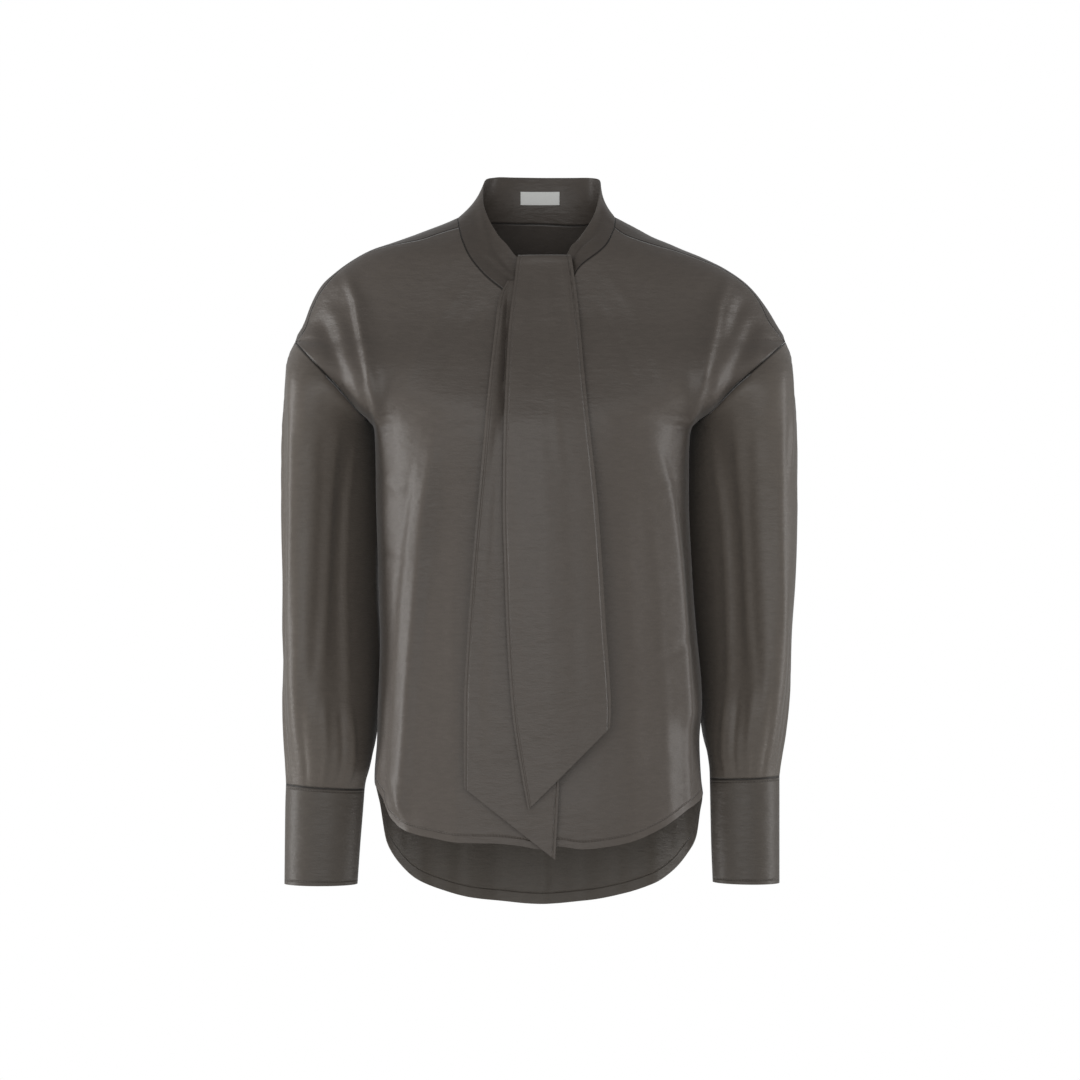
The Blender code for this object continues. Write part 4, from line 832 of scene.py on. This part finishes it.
CUFF = {
    # z outer, z inner, x outer, x inner, y of the middle, half depth
    -1: [SLEEVE[-1][-1][:6], (-600, -604, -262.3, -183, 9, 34.5),
         (-640, -641, -262.8, -186, 9, 33.5), (-682, -682, -263.2, -188.9, 9, 33)],
    1: [SLEEVE[1][-1][:6], (-596, -597, 246.6, 176.3, 9, 33),
        (-640, -640, 246.6, 177.2, 9, 32.5), (-681, -680, 246.6, 178.8, 9, 32)],
}
CUFF_STEPS = 26
HEAD_ROWS = 8.0  # rows over which the folds of a sleeve grow below its seam


def fade_between(t, start, rise, end, fall):
    """A fold's strength along its run t: it grows from start and has gone at end."""
    return np.clip(np.minimum((t - start) / rise, (end - t) / fall), 0.0, 1.0)


sleeve_grid = {}
sleeve_half = {}
cuff_grid = {}
cuff_half = {}
for side in (-1, 1):
    grid = sleeve_form(side)
    normal = outward(grid)
    mid = grid[:, :, 0].mean(axis=1)[:, None]
    z = grid[:, :, 2].mean(axis=1)[:, None]
    around = np.degrees(np.arctan2(grid[:, :, 1] - 9.0, grid[:, :, 0] - mid))
    total = np.zeros_like(around)
    for a1, a2, width, height, za, zb in SLEEVE_FOLDS[side]:
        t = (za - z) / (za - zb)
        gap = (around - a1 - (a2 - a1) * t + 540.0) % 360.0 - 180.0
        total += height * fade_between(t, -0.2, 0.3, 1.1, 0.25) * np.exp(-(gap / width) ** 2)
    total *= np.clip((np.arange(len(total)) - 1.0) / HEAD_ROWS, 0.0, 1.0)[:, None]
    total[-1] = 0.0
    grid = grid + normal * total[:, :, None]
    key = np.linspace(0.0, 1.0, 4)
    cuff = []
    for t in np.linspace(0.0, 1.0, CUFF_STEPS + 1):
        cuff.append(ring_points([float(smooth(key, [r[i] for r in CUFF[side]], t)) for i in range(6)]))
    cuff = np.array(cuff)
    cuff[0] = grid[-1]
    normal = outward(grid)
    normal[0] = arm_joint[side]
    cuff_n = outward(cuff)
    cuff_n[0] = mitre(normal[-1], cuff_n[0])
    normal[-1] = cuff_n[0]
    sleeve_grid[side] = grid
    sleeve_half[side] = normal
    cuff_grid[side] = cuff
    cuff_half[side] = cuff_n
# The sleeves are the same satin, but their colour is lighter than the front's: painted light that makes up
# for their sides turned away from the lamps.
sleeve_satin_lightened = satin("washed satin, sleeves, painted light", "635c55")
for side, tail in ((-1, "right"), (1, "left")):
    piece = cloth_piece("sleeve_%s_cloth" % tail, "sleeve_" + tail, sleeve_satin_lightened,
                        sleeve_grid[side], sleeve_half[side], closed=True, sewn=("top", "bottom"))


# Cuffs: a deep band of doubled satin each, with a row of stitches along both edges.
# They are closed rings here, for no opening shows from the front.
cuff_satin = satin("washed satin, cuffs", "544e48", 4.5)
for side, tail in ((-1, "right"), (1, "left")):
    grid = cuff_grid[side]
    down = lengths(grid, 0)
    edge = np.minimum(down[-1:] - down, down + 1.5)
    piece = cloth_piece("cuff_%s_cloth" % tail, "cuff_" + tail, cuff_satin,
                        grid, cuff_half[side], closed=True, hem=edge, sewn=("top",))


# Collar: a standing band of doubled satin, high at the back and low at the front, where it dips under the
# scarf end. The band creases a little on both sides of the knot.
CREASES = [
    # half width, height, then x, z along it on the front of the band
    (3, -1.3, [(-66, -36), (-48, -48), (-29, -64)]),
    (3, 1.2, [(-56, -36), (-42, -50), (-28, -60)]),
    (3, -1, [(-48, -30), (-38, -44), (-30, -58)]),
    (2.6, 2.4, [(55, -24), (45, -33), (36, -46)]),
    (2.6, -2.6, [(64, -28), (50, -42), (38, -55)]),
    (4, 1, [(-60, 20), (-58, -8), (-52, -30)]),
    (4, -1, [(64, 24), (60, 0), (52, -22)]),
]
normal = outward(collar_grid)
total = np.zeros(collar_grid.shape[:2])
for width, height, path in CREASES:
    path = np.asarray(path, float)
    best = np.full(total.shape, 1e9)
    for a, b in zip(path[:-1], path[1:]):
        p = collar_grid[:, :, [0, 2]] - a
        t = np.clip((p @ (b - a)) / ((b - a) ** 2).sum(), 0.0, 1.0)
        best = np.minimum(best, np.linalg.norm(p - t[:, :, None] * (b - a), axis=2))
    total += height * np.exp(-(best / width) ** 2) * (collar_grid[:, :, 1] < 0.0)
total *= np.sin(math.pi * np.linspace(0.0, 1.0, COLLAR_STEPS + 1))[:, None]
collar_grid = collar_grid + normal * total[:, :, None]
collar_half = outward(collar_grid)
collar_half[-1] = neck_joint
collar = cloth_piece("collar_cloth", "collar", satin("washed satin, collar", "544d47"),
                     collar_grid, collar_half, closed=True, sewn=("bottom",))


# Scarf ends: two layers of satin each, sewn together and turned, cut slanting at the bottom. The upper one
# folds over the front of the collar and falls over the lower one.
TIES = {
    # across each row: x, y, z of the l edge, x, y, z of the r edge, belly forward
    "tie_upper": [
        (-20, -57.5, -68, 20, -57.5, -68, 4),
        (-22, -56.5, -54, 22, -56.5, -54, 4),
        (-21.5, -56.8, -45, 24, -56.8, -45, 4.3),
        (-21.5, -58.6, -41, 25.5, -58.6, -41, 4),
        (-21.8, -63.5, -39.5, 29.5, -65.5, -39.5, 3.5),
        (-22.5, -69, -41, 31.5, -71.5, -41, 2),
        (-24, -72.5, -50, 33.2, -75.6, -50, 0.3),
        (-25.5, -79.2, -64, 35, -80.8, -64, 0.5),
        (-28, -89.8, -84, 37.5, -87.2, -84, 1.5),
        (-31.5, -103, -117, 40.5, -99.2, -117, 2),
        (-34, -124, -165, 44.5, -119.6, -165, 3),
        (-35, -131.5, -190, 47, -127, -191, 3.5),
        (-36, -136.5, -215, 49.7, -130.4, -218, 4),
        (-37, -138, -288, 57, -131, -288, 6),
        (-35.5, -138, -350, 61.5, -131, -350, 7),
        (-33, -138, -420, 65.5, -131, -415, 6),
        (-27.5, -137, -500, 69.5, -131, -470, 5),
        (-20.5, -137, -548, 70.4, -131, -492, 4),
        (-11.9, -137, -596, 69.6, -131.5, -514.5, 3),
    ],
    "tie_lower": [
        (-33, -77.2, -66, 9, -74.4, -66, 0),
        (-41, -86.6, -84, 12, -85.2, -84, 0.4),
        (-45, -98.4, -120, 16, -98.6, -120, 0.6),
        (-50, -119.2, -168, 18, -119.2, -168, 1),
        (-52.5, -127.6, -193, 18.5, -126.4, -193, 1),
        (-54.8, -131.6, -218, 19, -128.5, -218, 1),
        (-61, -131, -280, 20, -128.5, -280, 1.5),
        (-66.8, -130, -344, 21, -127.5, -344, 2.5),
        (-71.5, -126, -410, 21, -127, -410, 4),
        (-75.7, -124, -487, 20, -126.5, -500, 5),
        (-76, -125, -532, 19, -127, -566, 4),
        (-75.7, -126, -574.6, 15, -128, -646.4, 3),
    ],
}
TIE_FOLDS = {
    # share across at the top and the bottom, half width in mm, height, z from and to
    "tie_upper": [(0.86, 0.80, 2.5, 1.1, -46, -130), (0.92, 0.88, 2, -1, -46, -110),
                  (0.55, 0.62, 4, 0.8, -48, -260), (0.3, 0.34, 4, -0.7, -48, -220),
                  (0.42, 0.40, 9, 0.9, -200, -560), (0.72, 0.66, 9, -0.9, -240, -520),
                  (0.14, 0.20, 6, 0.8, -160, -480)],
    "tie_lower": [(0.03, 0.06, 5, 4, -72, -250), (0.15, 0.235, 3.2, -4.5, -72, -215),
                  (0.2, 0.24, 4, 0.8, -180, -360), (0.12, 0.16, 6, -0.8, -220, -560),
                  (0.3, 0.3, 8, 0.8, -260, -600)],
}
TIE_COLS = 26
TIE_WALL = 2.0
TIE_ROW = 5.0  # millimetres from row to row
PLAIN_ROWS = 18  # rows of the upper end that fold over the collar, without creases
tie_satin = satin("washed satin, scarf ends", "5b544e", 3.6)
for name, size in (("tie_upper", (0.11, 0.64)), ("tie_lower", (0.1, 0.6))):
    rows = np.asarray(TIES[name], float)
    index = [0.0]
    for i in range(len(rows) - 1):
        n = max(3, int(np.linalg.norm(rows[i + 1, :3] - rows[i, :3]) / TIE_ROW))
        index += [i + (k + 1) / n for k in range(n)]
    vals = np.stack([smooth(range(len(rows)), rows[:, c], np.array(index)) for c in range(7)], axis=1)
    s = np.linspace(0.0, 1.0, TIE_COLS + 1)[None, :, None]
    grid = vals[:, None, :3] * (1 - s) + vals[:, None, 3:6] * s
    grid[:, :, 1] -= vals[:, None, 6] * np.sin(math.pi * s[:, :, 0])
    half = facing(grid_normals(grid), -3, 8, 1, -1)
    wide = np.linalg.norm(vals[:, 3:6] - vals[:, :3], axis=1)[:, None]
    total = np.zeros(grid.shape[:2])
    for s1, s2, width, height, za, zb in TIE_FOLDS[name]:
        t = (za - grid[:, :, 2].mean(axis=1)[:, None]) / (za - zb)
        off = (s[:, :, 0] - s1 - (s2 - s1) * t) * wide
        total += height * fade_between(t, 0.0, 0.15, 1.1, 0.3) * np.exp(-(off / width) ** 2)
    if name == "tie_upper":
        total[:PLAIN_ROWS] = 0.0
    grid = grid + half * total[:, :, None]
    half = facing(grid_normals(grid), -3, 8, 1, -1)
    across = lengths(grid, 1)
    piece = cloth_piece(name + "_cloth", name, tie_satin, grid, half, thick=TIE_WALL,
                        hem=np.minimum(across, across[:, -1:] - across))


# Label at the back of the neck: a strip of plain woven tape, sewn flat inside the band, with no words on it.
LABEL_WIDTH = 41.0
LABEL_HEIGHT = 13.4
LABEL_ROWS = 10
LABEL_COLS = 30
LABEL_WALL = 0.7
LABEL_TOP = 35.6
LABEL_LIFT = 0.85  # from the band's inner face to the middle of the tape
LABEL_HALF_COLS = 20  # columns of the band on each side of the middle that can lie behind the label
tape, tree, inputs = new_material("woven label tape", 0.62)
weave = add(tree, "ShaderNodeTexNoise", {"Vector": place(tree, (900.0, 900.0, 2600.0)), "Scale": 1.0})
tree.links.new(bump(tree, weave, 0.4, 0.0004), inputs["Normal"])
inputs["Base Color"].default_value = colour("f3f4f1")
strip = np.concatenate([collar_grid, collar_half], axis=2)
strip = strip[:, np.arange(LABEL_HALF_COLS, -LABEL_HALF_COLS - 1, -1)]
rows = np.linspace(LABEL_TOP, LABEL_TOP - LABEL_HEIGHT, LABEL_ROWS + 1)
cols = np.linspace(-LABEL_WIDTH / 2.0, LABEL_WIDTH / 2.0, LABEL_COLS + 1)
levels = [[[np.interp(-z, -strip[:, j, 2], strip[:, j, k]) for k in range(6)] for j in range(strip.shape[1])]
          for z in rows]
spread = np.array([[[np.interp(x, level[:, 0], level[:, k]) for k in range(6)] for x in cols]
                   for level in np.array(levels)])
label_half = unit(spread[:, :, 3:])
label_grid = spread[:, :, :3] - label_half * (WALL / 2.0 + LABEL_LIFT)
label = cloth_piece("label_tape", "label", tape, label_grid, label_half, thick=LABEL_WALL)


# Studio: a wide pale floor well below the blouse, which hangs in front of an even white light.
MIDDLE_Z = -0.33
bpy.ops.mesh.primitive_plane_add(size=6.0, location=(0.0, 0.0, -1.4))
floor = bpy.context.object
floor.name = "studio floor"
paper, tree, inputs = new_material("pale studio floor", 0.8)
inputs["Base Color"].default_value = colour("e9e8e6")
floor.data.materials.append(paper)
world = bpy.data.worlds.new("white studio")
world.use_nodes = True
tree = world.node_tree
seen = add(tree, "ShaderNodeLightPath", {}, "Is Camera Ray")
sky = tree.nodes["Background"]
sky.inputs["Color"].default_value = (1.0, 1.0, 1.0, 1.0)
tree.links.new(map_range(tree, seen, 0.0, 1.0, 0.26, 1.0), sky.inputs["Strength"])
scene = bpy.context.scene
scene.world = world
LAMPS = [
    # name, place, width, height, watts
    ("wide soft box in front", (-0.3, -3.5, 0.1), 3.2, 1.6, 41.0),
    ("strip on the left", (-2.3, 0.1, -0.3), 0.3, 2.2, 30.0),
    ("strip on the right", (2.3, 0.1, -0.3), 0.3, 2.2, 21.0),
]
for name, spot, width, height, watts in LAMPS:
    lamp = bpy.data.lights.new(name, "AREA")
    lamp.shape = "RECTANGLE"
    lamp.size = width
    lamp.size_y = height
    lamp.energy = watts
    obj = bpy.data.objects.new(name, lamp)
    obj.location = spot
    obj.rotation_euler = (Vector((0.0, 0.0, MIDDLE_Z)) - Vector(spot)).to_track_quat("-Z", "Y").to_euler()
    scene.collection.objects.link(obj)
view = bpy.data.cameras.new("camera")
view.sensor_width = 36.0
view.lens = 129.45
camera = bpy.data.objects.new("camera", view)
camera.location = (0.0, -4.0, -0.3275)
camera.rotation_euler = (math.radians(90.0), 0.0, 0.0)
scene.collection.objects.link(camera)
scene.camera = camera
scene.view_settings.view_transform = "Standard"
